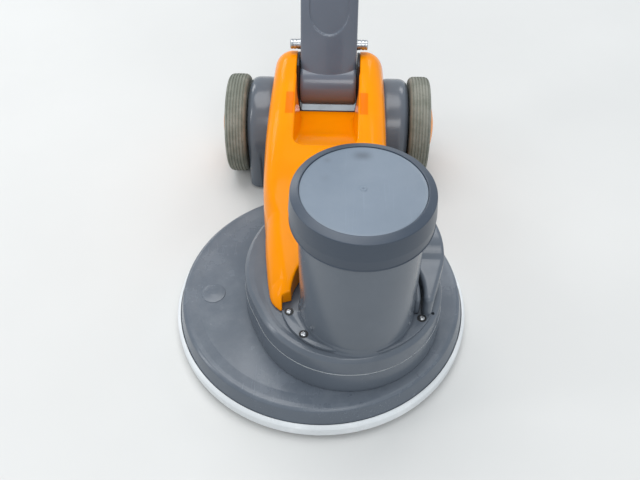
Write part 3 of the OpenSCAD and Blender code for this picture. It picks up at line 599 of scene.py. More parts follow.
def rubber(name, color, rough, dirt=0.5, dirt_color=(168, 166, 156)):
    """Rubber with a chalky worn face and dark pores."""
    g = Graph(name)
    base = linear(*color)
    worn = g.ramp(g.noise(22.0, 6.0, 0.7), 0.4, 0.68)
    tone = g.mix(g.math("MULTIPLY", worn, dirt), base, linear(*dirt_color))
    pores = g.ramp(g.noise(260.0, 3.0, 0.6), 0.58, 0.7)
    tone = g.mix(g.math("MULTIPLY", pores, 0.4), tone, tuple(c * 0.45 for c in base[:3]) + (1.0,))
    shine = g.blend(worn, rough, min(rough * 1.25, 0.95))
    g.bump(g.noise(700.0, 4.0, 0.6), 0.3, 0.0005)
    return g.finish(tone, shine)


def metres(x, y):
    """A point of the head's plan in the row frame's metres."""
    return (x + DISC[0]) / 1000, (y + DISC[1]) / 1000


GREY = moulded("shell_grey", (95, 102, 111), 0.21, worn=0.3, dust=0.04, grain=0.05)
DECK_GREY = moulded("deck_grey", (94, 102, 112), 0.25, worn=0.45, dust=0.12, grain=0.06)
TUBE_GREY = moulded("tube_grey", (104, 111, 123), 0.18, worn=0.2, dust=0.02, grain=0.04)
CAP_GREY = moulded("cap_grey", (59, 69, 82), 0.30, worn=0.35, dust=0.03, grain=0.3)
INLAY = moulded("inlay_grey", (112, 124, 137), 0.32, worn=0.4, dust=0.05, grain=0.3, dark_patches=[
    (metres(42, -34), metres(60, -24), 0.008, 0.85, (76, 84, 94)),
    (metres(6, -42), metres(12, -36), 0.005, 0.6, (88, 96, 106)),
    (metres(4, -74), metres(12, -66), 0.007, 0.4, (94, 102, 112))])
# Two darker orange patches painted on the hood's arms beside the slot.
ARM_DARK_PATCHES = [(metres(-66, 232), metres(-52.8, 276), 0.0012, 0.9, (244, 112, 0)),
            (metres(52.8, 232), metres(66, 276), 0.0012, 0.9, (244, 112, 0))]
ORANGE = moulded("hood_orange", (255, 150, 0), 0.16, worn=0.08, dust=0.0, grain=0.04,
                 shine_level=0.09, dark_patches=ARM_DARK_PATCHES)
WHITE = moulded("bumper_white", (232, 235, 236), 0.45, worn=0.9, dust=0.12,
                dusty=(150, 150, 145))
BLACK = moulded("black_plastic", (38, 39, 42), 0.45, worn=0.3, dust=0.10, grain=0.5)
RIM = moulded("rim_black", (46, 47, 50), 0.5, worn=0.4, dust=0.2, grain=0.4)
TYRE = rubber("tyre_grey", (112, 115, 104), 0.75, dirt=0.45)
GRIP = rubber("black_rubber", (30, 30, 31), 0.62, dirt=0.06)
ZINC = metal("zinc_steel", (186, 188, 190), 0.30, streak=0.6, grime=0.2)
STEEL = metal("gear_steel", (150, 150, 152), 0.26, streak=0.8, grime=0.35)
CAST = metal("cast_aluminium", (176, 178, 181), 0.48, streak=0.2, grime=0.3)
COPPER = metal("copper_wire", (190, 104, 60), 0.32, streak=0.8, grime=0.2, turn=(0, 0, 90))
DIAMOND = metal("diamond_metal", (128, 122, 108), 0.62, streak=0.1, grime=0.5)

BY_SLOT = {
    "deck_grey": DECK_GREY, "shell_grey": GREY, "cap_grey": CAP_GREY, "inlay_grey": INLAY,
    "hood_orange": ORANGE, "bumper_white": WHITE, "tyre_grey": TYRE, "rim_black": RIM,
    "zinc_steel": ZINC, "gear_steel": STEEL, "cast_aluminium": CAST, "copper_wire": COPPER,
    "black_plastic": BLACK, "black_rubber": GRIP, "diamond_metal": DIAMOND,
    "tube_grey": TUBE_GREY,
}
SLOT_OF = {s["node"]: s["material_slot"] for s in frame["record"]["subparts"]}
BODY_OF = {n: b for b, nodes in frame["record"]["behaviour"]["bodies"].items() for n in nodes}

for node_name, node_object in frame["nodes"].items():
    node_object.data.materials.clear()
    node_object.data.materials.append(BY_SLOT[SLOT_OF[node_name]])


def stands_for(obj, node):
    """The piece takes the node's body, slot and material, and the node is hidden."""
    obj.data.materials.clear()
    obj.data.materials.append(BY_SLOT[SLOT_OF[node]])
    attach(obj, BODY_OF[node])
    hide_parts(node)
    return obj


def rides_on_chassis(obj, slot):
    """Trim that stands for no node."""
    obj.data.materials.append(BY_SLOT[slot])
    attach(obj, "chassis")
    return obj


# ---------------------------------------------------------------- hood

HOOD_WALL = 4.6
SLOT_HALF = 52.5
SLOT_FRONT = PIVOT[1] - 40
SLOT_CORNER = 10
SLOT_REACH = 300
POCKET_Z = 150
POCKET_LIP = (165, 196)
POCKET_STEP = 259
FEET_HALF = (64.5, 62)
FEET_ROOM = 5.2
MOTOR_GAP = 14
DIVIDE_ANGLE = 78
DIVIDE_LOW = polar(MOTOR, MOTOR_R + MOTOR_GAP, DIVIDE_ANGLE)
DIVIDE_HIGH = (97, 92)


def hood_plans():
    """The outer outline, which is well rounded, and the whole one with its crisp inner edges."""
    left = smooth([(-49, -104), (-61, -91), (-70, -70), (-77, -28), (-84, 20), (-91, 90),
                   (-98, 160), (-HOOD_HALF, 240), (-HOOD_HALF, 330), (-99, 395), (-84, 432),
                   (-62, HOOD_REAR)], 5)
    right = smooth([(62, HOOD_REAR), (84, 432), (99, 395), (HOOD_HALF, 330), (HOOD_HALF, 240),
                    (101, 160), DIVIDE_HIGH], 5)
    beside_motor = [polar(MOTOR, MOTOR_R + MOTOR_GAP, a) for a in range(DIVIDE_ANGLE, 175, 6)]
    return ([*left, *right, (130, -150), (-20, -150)],
            [*left, *right, *beside_motor, (-33, -77), (-50, -83)])


def hood_profile():
    """The hood's outline from the side, as Y and Z."""
    arm_r = HOOD_TOP - PIVOT[2]
    top = smooth([(-104, 123), (-85, 141), (-50, 158), (0, 172), (80, 186), (160, 196),
                  (240, 207), (300, 223), (335, 233)], 5)
    arm = [polar(PIVOT[1:], arm_r, a) for a in range(90, 23, -6)]
    rear = smooth([(422, 165), (438, 134), (HOOD_REAR, HOOD_LOW), (HOOD_REAR, 60)], 5)
    return [(-120, 60), (-120, 112), *top, *arm, *rear]


def hood_section():
    """The hood's outline from behind, as X and Z."""
    half = smooth([(-HOOD_HALF - 3, 60), (-HOOD_HALF - 1, 110), (-100, 155), (-94, 190),
                   (-86, 216), (-77, 230), (-66, HOOD_TOP), (-50, HOOD_TOP + 0.5)], 5)
    return [*half, *[(-p[0], p[1]) for p in reversed(half)]]


def case_plan(x, y):
    """Plan of the gearcase: a circle that swells out on the left."""
    swell = upright_drum(x, y, SWELL, SWELL_R)
    swell = np.maximum(np.maximum(swell, x + 30), y - SWELL_END)
    return np.minimum(upright_drum(x, y, CASE, CASE_R), swell)


def pocket_field(x, y, z):
    """The hollow in front of the knuckle: drafted walls, a ramp off the lip, a level floor."""
    lip_y, lip_z = POCKET_LIP
    run, drop = POCKET_STEP - lip_y, lip_z - POCKET_Z
    length = math.hypot(run, drop)
    ramp = -((z - lip_z) * run + (y - lip_y) * drop) / length
    below = both(ramp, POCKET_Z - z, 14)
    draft = np.clip((212 - z) * 0.13, 0, 8) * np.clip((SLOT_FRONT - y) / 25, 0, 1)
    half = SLOT_REACH / 2
    sides = rect(x, y - lip_y - half, SLOT_HALF - 1.2 - draft, half, 20)
    return both(sides, below, 6)


def slot_field(x, y):
    """The slot between the arms, which runs out past the hood's rear."""
    half = SLOT_REACH / 2
    return rect(x, y - SLOT_FRONT - half, SLOT_HALF, half, SLOT_CORNER)


OUTER_PLAN, WHOLE_PLAN = hood_plans()
SIDE_PROFILE, CROSS_SECTION = hood_profile(), hood_section()


def hood_body(x, y, z):
    """The hood's outer surface before its pocket and its slot are cut."""
    top = both(polygon(y, z, SIDE_PROFILE), polygon(x, z, CROSS_SECTION), 30)
    edge = polygon(x, y, OUTER_PLAN)
    shoulder = np.clip((110 - y) / 70, 0, 1) * np.clip((y + 108) / 45, 0, 1)
    bevel = (top + edge) / math.sqrt(2) + 15 * shoulder
    d = both(both(top, edge, 16), bevel, 6)
    return both(d, polygon(x, y, WHOLE_PLAN), 1.5)


def liner_field(x, y, z):
    """Dark cheeks and a front lip that line the slot beside the knuckle; their black also paints the shade on the
    slot's walls.
    """
    d = both(slot_field(x, y) + 0.25, -slot_field(x, y) - 4.1)
    d = both(d, hood_body(x, y, z) + 1.2, 1)
    top = POCKET_Z - 0.8 + np.clip((y - SLOT_FRONT - 4) * 4, 0, 100)
    return both(d, np.maximum(z - top, HOOD_LOW + FEET_ROOM + 0.2 - z))


def hood_field(x, y, z):
    """The hood as a shell, with room for the gearcase, the arches, the pin and the bracket feet."""
    d = without(hood_body(x, y, z), pocket_field(x, y, z), 4)
    d = without(d, slot_field(x, y), 1.6)
    shell = without(d, d + HOOD_WALL)
    case = np.maximum(case_plan(x, y) - 0.6, z - CASE_TOP - 0.4)
    shell = without(shell, case, 1)
    arch = np.maximum(along_x(y, z, AXLE, ARCH_R + 1.2), ARCH_IN - 6 - np.abs(x))
    shell = without(shell, arch, 1.5)
    pin = np.maximum(along_x(y, z, PIVOT, 9.5), np.abs(x) - 70)
    shell = without(shell, pin)
    feet = block(x, y, z, (-FEET_HALF[0], PIVOT[1] - FEET_HALF[1], 0),
                 (FEET_HALF[0], PIVOT[1] + FEET_HALF[1], HOOD_LOW + FEET_ROOM))
    shell = without(shell, feet)
    return both(shell, HOOD_LOW - z, 1.5)


# ---------------------------------------------------------------- chassis and wheel arches

ARCH_IN = 92
ARCH_SHOULDER = 19
CHASSIS_WALL = 4
DECK_BOX = (40, 340)
STEP_X = 117


def arch_field(x, y, z):
    """One drum over each axle end with a rounded shoulder, and a flat front below it."""
    ax = np.abs(x)
    out = np.hypot(y - AXLE[1], z - AXLE[2])
    legs = np.maximum(np.abs(y - AXLE[1]), z - AXLE[2])
    drum = np.minimum(out, np.where(z < AXLE[2], legs, out)) - ARCH_R
    step = np.clip((STEP_X - ax) / 1.5, 0, 1) * np.clip((AXLE[2] + 5 - z) / 40, 0, 1)
    stepped = drum + 3 * step
    side = both(ax - ARCH_HALF, ARCH_IN - 6 - ax)
    return both(both(stepped, side, ARCH_SHOULDER), ARCH_LOW - z, 2)


def chassis_field(x, y, z):
    """Both arches, the open box between them, and the box that reaches over the deck."""
    arch = arch_field(x, y, z)
    hollow = np.hypot(y - AXLE[1], np.maximum(z - AXLE[2], 0)) - ARCH_R + 8
    within = np.maximum(np.abs(x) - ARCH_HALF + 6, ARCH_IN + 2 - np.abs(x))
    arch = without(arch, both(hollow, within, ARCH_SHOULDER))
    side, wall = ARCH_IN, CHASSIS_WALL
    start, end = DECK_BOX
    deck = block(x, y, z, (-side, start, DECK + 1.4), (side, end, HOOD_LOW), 2)
    deck = without(deck, block(x, y, z, (wall - side, start + wall, DECK + 1.4 + wall),
                               (side - wall, end - wall, HOOD_LOW - wall)))
    front, back = AXLE[1] - ARCH_R, AXLE[1] + ARCH_R
    middle_box = block(x, y, z, (-side - 2, front, ARCH_LOW), (side + 2, back, HOOD_LOW), 4)
    belly = block(x, y, z, (wall - side, front + wall, -50),
                  (side - wall, back - wall, HOOD_LOW - wall), 6)
    middle_box = without(middle_box, belly, 2)
    d = np.minimum(either(arch, middle_box, 3), deck)
    d = without(d, case_plan(x, y) - 0.3)
    return without(d, along_x(y, z, AXLE, 10.1))


chassis = solid("chassis_shell", chassis_field, low("chassis_frame"), high("chassis_frame"), 2.0)
stands_for(chassis, "chassis_frame")

hood = solid("hood_shell", hood_field, low("hood"), high("hood"), 1.7)
stands_for(hood, "hood")

# Black lining of the slot, which also stands as painted shade on its walls.
liner = solid("slot_liner", liner_field, (-SLOT_HALF, SLOT_FRONT, HOOD_LOW),
              (SLOT_HALF, HOOD_REAR, HOOD_TOP), 1.3)
rides_on_chassis(liner, "black_plastic")


# ---------------------------------------------------------------- side shroud

COLUMN = (146.5, -93)
COLUMN_R = 6.3
SHROUD_TOP = high("side_shroud")[2]
SHROUD_WALL = 3.5


def shroud_profile():
    """The shroud's outline from the side, as Y and Z."""
    top = smooth([(-92, 158), (-67, 165), (-38, 171), (-19, 184), (0, 191), (25, SHROUD_TOP),
                  (60, SHROUD_TOP - 2), (95, 188)], 6)
    return [(-140, 90), (-140, 156), (-100, 156), *top, (220, 188), (220, 90)]


SHROUD_PROFILE = shroud_profile()
SHROUD_PLAN = [(110, COLUMN[1]), (COLUMN[0] + COLUMN_R, COLUMN[1]), (170.5, -33), (400, -33),
               (400, 400), (DIVIDE_HIGH[0] + 2, DIVIDE_HIGH[1]), (DIVIDE_LOW[0] + 2, DIVIDE_LOW[1])]


def shroud_field(x, y, z):
    """The shroud as a shell between the motor and the gearcase's edge, with its front column."""
    plan = both(upright_drum(x, y, CASE, CASE_R - 4.5), polygon(x, y, SHROUD_PLAN), 3)
    plan = without(plan, upright_drum(x, y, MOTOR, MOTOR_R + 11), 3)
    plan = either(plan, upright_drum(x, y, COLUMN, COLUMN_R), 2)
    d = both(plan, polygon(y, z, SHROUD_PROFILE), 5)
    return both(without(d, d + SHROUD_WALL), CASE_TOP - 3.6 - z)


shroud = solid("shroud_shell", shroud_field, low("side_shroud"), high("side_shroud"), 1.3)
stands_for(shroud, "side_shroud")


# ---------------------------------------------------------------- grinding head

RIDGE_R = HOUSING_R - 8
OPENING_R = 112
SCREW_RING = 124
SCREW_R = 3
DECK_LOW = DECK - HOUSING_WALL
BOSS_R = 31
CASE_FLOOR = 60
CASE_EDGE = 7
DRAIN = (155, -92)

housing = lathe("housing_shell", rounded([
    (0, DECK_LOW, 0), (RIDGE_R - 8, DECK_LOW, 4), (HOUSING_R - 5, 26, 8),
    (HOUSING_R - 5, 7, 1), (HOUSING_R, 7, 1), (HOUSING_R, 29, 3), (RIDGE_R + 2.4, DECK - 2.0, 4),
    (RIDGE_R - 1.5, DECK + 1.2, 5), (RIDGE_R - 8, DECK + 1.2, 9), (RIDGE_R - 22, DECK, 12),
    (0, DECK, 0)], 10), segments=288)
screw_spots = [polar(CASE, SCREW_RING, 30 + 60 * i) for i in range(6)]
bored(housing, peg(*CASE, OPENING_R, 30, 90, 192), peg(*PLUG, 14, 30, 90),
      *[peg(*p, SCREW_R, 30, 90, 32) for p in screw_spots])
ribs = [box_mesh((140, -1.5, DECK_LOW - 9), (200, 1.5, DECK_LOW + 0.5), turned((0, 0), 30 * i))
        for i in range(12)]
stands_for(joined("housing_body", housing, *ribs), "base_housing")

bumper = lathe("bumper_band", rounded([
    (HOUSING_R + 0.02, 29, 0.8), (HOUSING_R + 0.02, 9, 0), (HOUSING_R + 1, 6, 0.8),
    (BUMPER_R - 3, 6, 2), (BUMPER_R, 10, 3), (BUMPER_R, 24, 3.5), (BUMPER_R - 3, 29, 3)], 8),
    segments=288)
stands_for(bumper, "bumper_ring")

plug = lathe("plug_dome", rounded([
    (0, DECK_LOW, 0), (14, DECK_LOW, 0.5), (14, DECK, 0), (17.9, DECK, 0),
    (17.6, DECK + 0.8, 0.3), (12, DECK + 1.5, 12), (4, DECK + 2.2, 8), (0, DECK + 2.2, 0)]),
    shifted(*PLUG), 96)
stands_for(plug, "housing_plug")


def leaning(z):
    """Radius of the gearcase's wall, which leans in towards the top."""
    return CASE_R - CASE_DRAFT * (z - DECK) / (CASE_TOP - DECK)


def swollen(p):
    """From a lathe's own frame onto the gearcase, with its wall pushed out on the left.

    The wall follows the swell's circle as far as SWELL_END, and grows smoothly out of its own.
    """
    r = np.maximum(np.hypot(p[:, 0], p[:, 1]), 1e-6)
    ux, uy = p[:, 0] / r, p[:, 1] / r
    off = CASE - SWELL
    along = ux * off[0] + uy * off[1]
    reach = np.sqrt(along ** 2 - off @ off + SWELL_R ** 2) - along
    reach = np.minimum(reach, (SWELL_END - CASE[1]) / np.maximum(uy, 0.05))
    grown = reach - CASE_R
    grown = (grown + np.sqrt(grown ** 2 + 2)) / 2
    on_left = np.clip((-ux - 0.45) / 0.2, 0, 1)
    near_wall = np.clip((r - OPENING_R - 1) / 10, 0, 1)
    r = r + grown * on_left * near_wall
    return np.stack([CASE[0] + ux * r, CASE[1] + uy * r, p[:, 2]], axis=1)


seat = leaning(PARTING)
rim = leaning(CASE_TOP - CASE_EDGE)
lower = lathe("case_lower", rounded([
    (0, DECK_LOW, 0), (OPENING_R, DECK_LOW, 0), (OPENING_R, DECK, 0), (CASE_R - 0.8, DECK, 1),
    (leaning(DECK + 6), DECK + 6, 20), (seat, PARTING - 0.8, 0.3),
    (seat - 0.5, PARTING - 0.5, 0.2), (seat - 0.5, PARTING, 0), (seat - 5, PARTING, 0),
    (CASE_R - 5, CASE_FLOOR, 3), (0, CASE_FLOOR, 0)]), swollen, 288)
boss = lathe("case_boss", [(BOSS_R - 5, BOSS_LOW), (BOSS_R, BOSS_LOW), (BOSS_R, CASE_FLOOR + 2),
                           (BOSS_R - 5, CASE_FLOOR + 2)], segments=128)
bored(lower, peg(0, 0, BOSS_R - 4.5, 40, 90), peg(*IDLER, 16, 51, 90),
      *[peg(*p, SCREW_R, 30, 68, 32) for p in screw_spots])
stands_for(joined("case_lower_body", lower, boss), "gearcase_lower")

cover = lathe("case_cover", rounded([
    (0, CASE_TOP - 1.1, 0), (rim - 16, CASE_TOP - 1.1, 6), (rim - 11, CASE_TOP, 5),
    (rim - 5, CASE_TOP, 3.5), (rim, CASE_TOP - 5, 5),
    (seat, PARTING + 0.8, 0.3), (seat - 0.5, PARTING + 0.5, 0.2), (seat - 0.5, PARTING, 0),
    (seat - 5, PARTING, 0), (rim - 5, CASE_TOP - 4, 3), (0, CASE_TOP - 4, 0)], 10),
    swollen, 288)
bored(cover, peg(*MOTOR, 17, 90, 140), peg(*DRAIN, 2.5, 90, 140, 40))
stands_for(cover, "gearcase_cover")

# A thin bead at the parting line, coloured white as a painted highlight of the cover's edge.
seam_highlight_band = lathe("painted_seam_highlight", rounded([
    (seat - 3, PARTING - 0.7, 0), (seat + 0.35, PARTING - 0.7, 0.4),
    (seat + 0.35, PARTING + 0.7, 0.4), (seat - 3, PARTING + 0.7, 0)]), swollen, 288)
rides_on_chassis(seam_highlight_band, "bumper_white")


# ---------------------------------------------------------------- motor

SHELL_TOP = high("motor_shell")[2]
INLAY_R = 73.7
BUMP_ANGLES = (-172, -141, -28)
FLANGE_SCREWS = [(-39.5, -100.5), (-18, -136.5), (139, -105)]
HEAD_R = 3.9

foot = lathe("motor_foot", rounded([
    (MOTOR_R - 1, CASE_TOP - 2, 0), (MOTOR_R + 3, CASE_TOP - 2, 0),
    (MOTOR_R + 3, CASE_TOP - 0.6, 0.3), (MOTOR_R + 1.2, CASE_TOP + 2.4, 5),
    (MOTOR_R + 0.1, FLANGE_TOP + 6, 8), (MOTOR_R - 1, FLANGE_TOP + 6, 0)], 10), shifted(*MOTOR),
    192)


def on_motor(degrees):
    """Turns a lathe's axis to stand out from the motor's wall, just above the flange."""
    around = turned(MOTOR, degrees)
    return lambda p: around(np.stack([MOTOR_R + p[:, 2], p[:, 0], FLANGE_TOP + 13 + p[:, 1]],
                                     axis=1))


bumps = [lathe("bump", rounded([(0, -1, 0), (2.6, -1, 0), (2.2, 1.2, 1), (0, 1.8, 0)]),
               on_motor(degrees), 24) for degrees in BUMP_ANGLES]
foot = joined("motor_foot_ring", foot, *bumps)
rides_on_chassis(foot, "shell_grey")


def band_field(x, y, z):
    """The shell's thicker wall where the shroud wraps it."""
    out = np.hypot(x - MOTOR[0], y - MOTOR[1])
    d = both(out - MOTOR_R - 7, MOTOR_R - 0.3 - out)
    d = both(d, np.maximum(-(y - MOTOR[1] + 8), MOTOR[0] + 10 - x), 3)
    d = both(d, polygon(y, z, SHROUD_PROFILE) + 5, 3)
    return both(d, CASE_TOP + 0.1 - z)


band = solid("shell_band", band_field, (MOTOR[0], MOTOR[1] - 12, CASE_TOP),
             (MOTOR[0] + MOTOR_R + 8, MOTOR[1] + MOTOR_R + 8, SHROUD_TOP), 1.5)
rides_on_chassis(band, "shell_grey")

cap = lathe("cap_shell", rounded([
    (CAP_R, CAP_LOW, 0.8), (CAP_R - 1.0, CAP_LOW + 16, 30), (CAP_R - 3.2, CAP_TOP - 3.4, 1.5),
    (INLAY_R + 1.8, CAP_TOP, 0.8), (INLAY_R + 0.5, CAP_TOP, 0.3), (INLAY_R + 0.1, CAP_TOP - 3, 0),
    (0, CAP_TOP - 3, 0), (0, CAP_TOP - 6, 0), (CAP_R - 7, CAP_TOP - 6, 2),
    (CAP_R - 3.6, CAP_LOW + 12, 4), (CAP_R - 3, CAP_LOW, 0.6)], 8), shifted(*MOTOR), 288)
posts = [box_mesh((MOTOR_R - 1.5, -2, SHELL_TOP + 0.02), (MOTOR_R + 7.5, 2, CAP_TOP - 5),
                  turned(MOTOR, 30 + 60 * i)) for i in range(6)]
stands_for(joined("cap_body", cap, *posts), "motor_cap")

inlay = lathe("inlay_disc", rounded([
    (0, CAP_TOP - 3, 0), (INLAY_R, CAP_TOP - 3, 0), (INLAY_R, CAP_TOP - 1.1, 0.5),
    (70, CAP_TOP - 0.9, 3), (20, CAP_TOP - 0.9, 3), (4.4, CAP_TOP - 1.0, 0.5),
    (3.4, CAP_TOP - 0.2, 0.6), (1.4, CAP_TOP - 0.1, 0.4), (0.9, CAP_TOP - 0.9, 0.2),
    (0, CAP_TOP - 0.9, 0)]), shifted(*MOTOR), 240)
stands_for(inlay, "cap_inlay")

heads, seals = [], []
for spot in FLANGE_SCREWS:
    heads.append(lathe("head", rounded([
        (0, FLANGE_TOP - 6, 0), (2, FLANGE_TOP - 6, 0), (2, FLANGE_TOP, 0),
        (HEAD_R, FLANGE_TOP, 0.3), (HEAD_R, FLANGE_TOP + 1.2, 1), (2.4, FLANGE_TOP + 2.3, 1.2),
        (1.9, FLANGE_TOP + 2.3, 0.2), (1.6, FLANGE_TOP + 1.0, 0), (0, FLANGE_TOP + 1.0, 0)], 5),
        shifted(*spot), 48))
    seals.append(lathe("seal", rounded([
        (HEAD_R, FLANGE_TOP - 0.3, 0), (6.4, FLANGE_TOP - 0.3, 0), (6.2, FLANGE_TOP + 0.7, 0.4),
        (HEAD_R, FLANGE_TOP + 0.5, 0)]), shifted(*spot), 48))
stands_for(joined("screw_heads", *heads), "flange_screws")
rides_on_chassis(joined("screw_seals", *seals), "black_rubber")


# ---------------------------------------------------------------- wheels

TYRE_W = TYRE_OUT - TYRE_IN
GROOVES = 6
GROOVE_HALF = 0.85
GROOVE_DEPTH = 1.3
SHOULDER_START = 0.58
SHOULDER_DROP = 7
CAP_SEAT = TYRE_W - 2.9


def tyre_outline():
    """A barrel-shaped face with grooves round it, rounded shoulders and beaded sides."""
    face = []
    for z in np.linspace(0.6, TYRE_W - 0.6, 97):
        t = abs(z - TYRE_W / 2) / (TYRE_W / 2)
        shoulder = max(t - SHOULDER_START, 0) / (1 - SHOULDER_START)
        r = TYRE_R - 1.2 * t * t - SHOULDER_DROP * (1 - math.sqrt(max(1 - shoulder ** 2, 0)))
        near = min(abs(z - i * TYRE_W / (GROOVES + 1)) for i in range(1, GROOVES + 1))
        if near < GROOVE_HALF:
            r -= GROOVE_DEPTH
        face.append((r, z))
    inner = [(TYRE_R - 12, 0.0), (TYRE_R - 16, 0.8), (TYRE_R - 17.5, 0.8), (TYRE_R - 18.5, 0.0),
             (60, 0.4)]
    outer = [(r, TYRE_W - z) for r, z in inner]
    return [*inner[::-1], *face, *outer]


def hubcap_outline():
    """A shallow dome with a ring pressed into it, and the rim that snaps into the hub."""
    top, bend = TYRE_W + 12, 125
    dome = []
    for r in np.linspace(55.2, 13, 40):
        z = top - (bend - math.sqrt(bend ** 2 - r ** 2))
        dome.append((r, z - (0.7 if 44.5 < r < 46.5 else 0)))
    return [(0, CAP_SEAT), (48, CAP_SEAT), (48, 21), (50, 21), (50, CAP_SEAT),
            (55.8, CAP_SEAT), (56, TYRE_W - 1.6), *dome, (12.2, top - 1.6), (11, top - 1.6),
            (10, top - 0.5), (0, top - 0.1)]


for side, name in ((-1, "left"), (1, "right")):
    turn = from_wheel(side)
    stands_for(lathe("tyre_" + name, tyre_outline(), turn, 240, 50), "wheel_tyre_" + name)
    stands_for(lathe("hub_" + name, hubcap_outline(), turn, 192, 30), "hubcap_" + name)


# ---------------------------------------------------------------- handle

TUBE_HALF = 47
TUBE_BACK = 28
TUBE_FRONT = -32
CROWN_R = 120
BARREL_R = 37
BARREL_HALF = TUBE_HALF + 0.5
SECTOR_R = 27
SECTOR_HALF = 9
TUBE_TOP = along_handle("handle_tube")[1]
TUBE_LOW = 8
TUBE_WALL = 5
RECESS_HALF = 32
RECESS_Z = 125.5
RECESS_DROP = 40
PIN_Z = 65
PIN_R = 8.4
PIN_END = high("cross_pin")[0]
GRIP_BORE = 14.1
GRIP_R = 17.2
GRIP_END_R = 19
GRIP_GROOVES = 16


def sector_room(x, y, z):
    """Room for the brake sector round the pivot pin."""
    return np.maximum(np.hypot(y, z) - SECTOR_R, np.abs(x) - SECTOR_HALF)


def tube_outline(x, y):
    """A rounded rectangle whose front face is crowned."""
    flat = rect(x, y - (TUBE_BACK + TUBE_FRONT) / 2, TUBE_HALF, (TUBE_BACK - TUBE_FRONT) / 2, 12)
    crown = np.hypot(x, y - TUBE_FRONT - CROWN_R) - CROWN_R
    return both(flat, crown, 6)


def tube_field(x, y, z):
    """The crowned tube with the long recess in its front face."""
    outline = tube_outline(x, y)
    low_end = np.minimum(z - RECESS_Z, 0) * RECESS_HALF / RECESS_DROP
    recess = np.hypot(x, low_end) - RECESS_HALF
    recess = np.maximum(recess, y - 5)
    shell = without(outline, both(recess, -outline - 2.0, 0.8), 0.9)
    shell = without(shell, outline + TUBE_WALL)
    shell = without(shell, sector_room(x, y, z))
    return slab(shell, z, TUBE_LOW, TUBE_TOP)


tube = solid("tube_shell", tube_field, (-TUBE_HALF, TUBE_FRONT, TUBE_LOW),
             (TUBE_HALF, TUBE_BACK, TUBE_TOP), (1.1, 1.1, 2.4), from_handle)
stands_for(tube, "handle_tube")


def knuckle_field(x, y, z):
    """The barrel round the pivot pin, with the brake rod's hole up its middle."""
    barrel = both(np.hypot(y, z) - BARREL_R, np.abs(x) - BARREL_HALF, 7)
    d = without(barrel, np.hypot(y, z) - 9.1, 0.8)
    d = without(d, sector_room(x, y, z))
    return without(d, np.maximum(np.hypot(x, y) - 5, -z))


knuckle = solid("knuckle_block", knuckle_field, (-BARREL_HALF, -BARREL_R, -BARREL_R),
                (BARREL_HALF, BARREL_R, BARREL_R), 1.2, from_handle)
stands_for(knuckle, "knuckle")


def across(z):
    """Turns a lathe's axis to run along X at a height up the handle."""
    return lambda p: from_handle(np.stack([p[:, 2], p[:, 0], p[:, 1] + z], axis=1))


def pin_outline():
    """The pin with its collar in the tube, and two grooves and a hollow at each end."""
    half = [(9, 0), (9, TUBE_HALF + 1.4), (PIN_R, TUBE_HALF + 1.8), (PIN_R, PIN_END - 12),
            (7.4, PIN_END - 11.4), (7.4, PIN_END - 10.2), (PIN_R, PIN_END - 9.6),
            (PIN_R, PIN_END - 6), (7.6, PIN_END - 5.4), (7.6, PIN_END - 4.4),
            (PIN_R, PIN_END - 3.8), (8.2, PIN_END - 1.2), (7.0, PIN_END - 0.1),
            (4.4, PIN_END - 0.1), (3.8, PIN_END - 1.4), (0, PIN_END - 1.4)]
    return [(r, -z) for r, z in reversed(half)] + half[1:]


def grip_outline(start, end):
    """A rubber sleeve with a collar at each end and grooves between them."""
    outline = [(GRIP_BORE, start), (GRIP_END_R, start), (GRIP_END_R, start + 3),
               (GRIP_R, start + 4.4)]
    for i in range(GRIP_GROOVES):
        x = start + 6 + i * (end - start - 12) / (GRIP_GROOVES - 1)
        outline += [(GRIP_R, x - 1.3), (GRIP_R - 1, x - 0.8), (GRIP_R - 1, x + 0.8),
                    (GRIP_R, x + 1.3)]
    return [*outline, (GRIP_R, end - 4.4), (GRIP_END_R, end - 3), (GRIP_END_R, end),
            (GRIP_BORE, end)]


stands_for(lathe("pin_bar", pin_outline(), across(PIN_Z), 64, 35), "cross_pin")

for side, name in ((-1, "left"), (1, "right")):
    node = "grip_" + name
    start, end = sorted(abs(v) for v in (low(node)[0], high(node)[0]))
    outline = [(r, side * x) for r, x in grip_outline(start, end)]
    grip = lathe("grip_rubber_" + name, outline, across(sum(along_handle(node)) / 2), 96, 50)
    stands_for(grip, node)

EDGE_WIDTHS = {
    "fork_brackets": 0.8, "tilt_lever": 0.8, "lock_button": 0.8, "cable_hooks": 1.2,
    "rod_guides": 0.6, "switch_block": 1.0, "switch_lever_left": 1.2, "switch_lever_right": 1.2,
    "motor_flange": 1.0, "console_front": 1.6, "console_rear": 1.6, "pivot_pin": 0.8,
    "clutch_hub": 0.8, "pad_driver": 0.8, "grinding_plate": 0.7, "cable_gland": 0.7,
}
for node_name, width in EDGE_WIDTHS.items():
    softened(node_name, width)


# ---------------------------------------------------------------- camera, light and floor

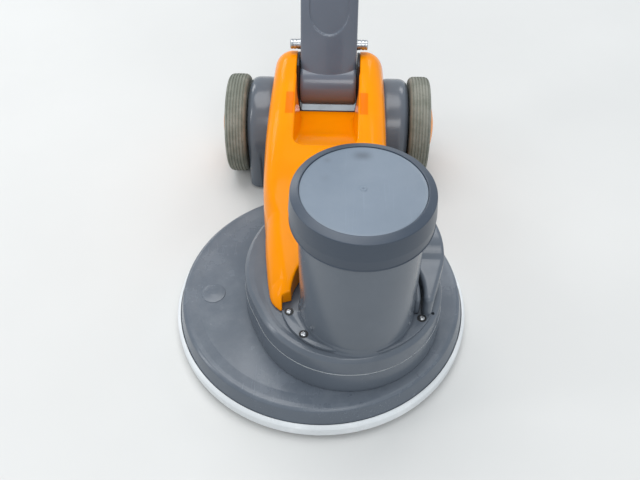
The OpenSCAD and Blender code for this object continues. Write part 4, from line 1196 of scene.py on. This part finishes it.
CAMERA_AT = np.array([26.2, -686.7, 907.1])
CAMERA_PITCH, CAMERA_YAW, CAMERA_ROLL = 47.3, -2.3, -0.2
CAMERA_LENS = 40.5
FLOOR_REACH = 9.0
SOFTBOXES = [
    ("top_light", (-0.3, 0.5, 3.2), (0, 0, 0.1), (2.2, 2.2), 50),
    ("left_light", (-2.6, -0.6, 1.6), (0, 0, 0.2), (0.5, 1.6), 13),
    ("front_light", (0.5, -2.4, 2.5), (0, 0, 0.2), (1.6, 1.0), 21),
    ("low_light", (-1.8, 2.4, 1.7), (0, 0, 0.3), (1.0, 0.9), 12),
    ("back_light", (1.4, 3.2, 2.9), (0, 0, 0.3), (1.2, 1.2), 18)]


def pale_floor():
    """A plain floor, which belongs to the stage and not to the machine."""
    mesh = bpy.data.meshes.new("floor")
    signs = ((-1, -1), (1, -1), (1, 1), (-1, 1))
    mesh.from_pydata([(a * FLOOR_REACH, b * FLOOR_REACH, 0) for a, b in signs], [],
                     [(0, 1, 2, 3)])
    floor = linked("floor", mesh)
    g = Graph("floor_pale")
    tone = g.mix(g.noise(3.0, 3.0), linear(206, 205, 202), linear(214, 213, 210))
    floor.data.materials.append(g.finish(tone, g.blend(g.noise(30.0), 0.5, 0.65)))


def studio_light():
    """A pale sky and one softbox for each row: name, place, target, size and watts."""
    world = bpy.data.worlds.new("studio")
    bpy.context.scene.world = world
    world.use_nodes = True
    back = world.node_tree.nodes["Background"]
    back.inputs["Color"].default_value = (0.86, 0.93, 1.0, 1.0)
    back.inputs["Strength"].default_value = 0.75
    for name, at, target, size, watts in SOFTBOXES:
        light = bpy.data.lights.new(name, "AREA")
        light.shape = "RECTANGLE"
        light.size, light.size_y = size
        light.energy = watts
        lamp = linked(name, light)
        lamp.location = at
        lamp.rotation_euler = (Vector(target) - Vector(at)).to_track_quat("-Z", "Y").to_euler()


def aim_camera():
    """Looks down on the grinding head from in front of it."""
    camera = bpy.data.cameras.new("camera")
    camera.lens, camera.sensor_width = CAMERA_LENS, 36
    viewer = linked("camera", camera)
    viewer.location = Vector((CAMERA_AT + DISC) / 1000)
    turn = (Matrix.Rotation(math.radians(-CAMERA_YAW), 4, "Z")
            @ Matrix.Rotation(math.radians(90 - CAMERA_PITCH), 4, "X")
            @ Matrix.Rotation(math.radians(CAMERA_ROLL), 4, "Z"))
    viewer.rotation_euler = turn.to_euler()
    bpy.context.scene.camera = viewer


pale_floor()
studio_light()
aim_camera()
bpy.context.scene.view_settings.view_transform = "Standard"
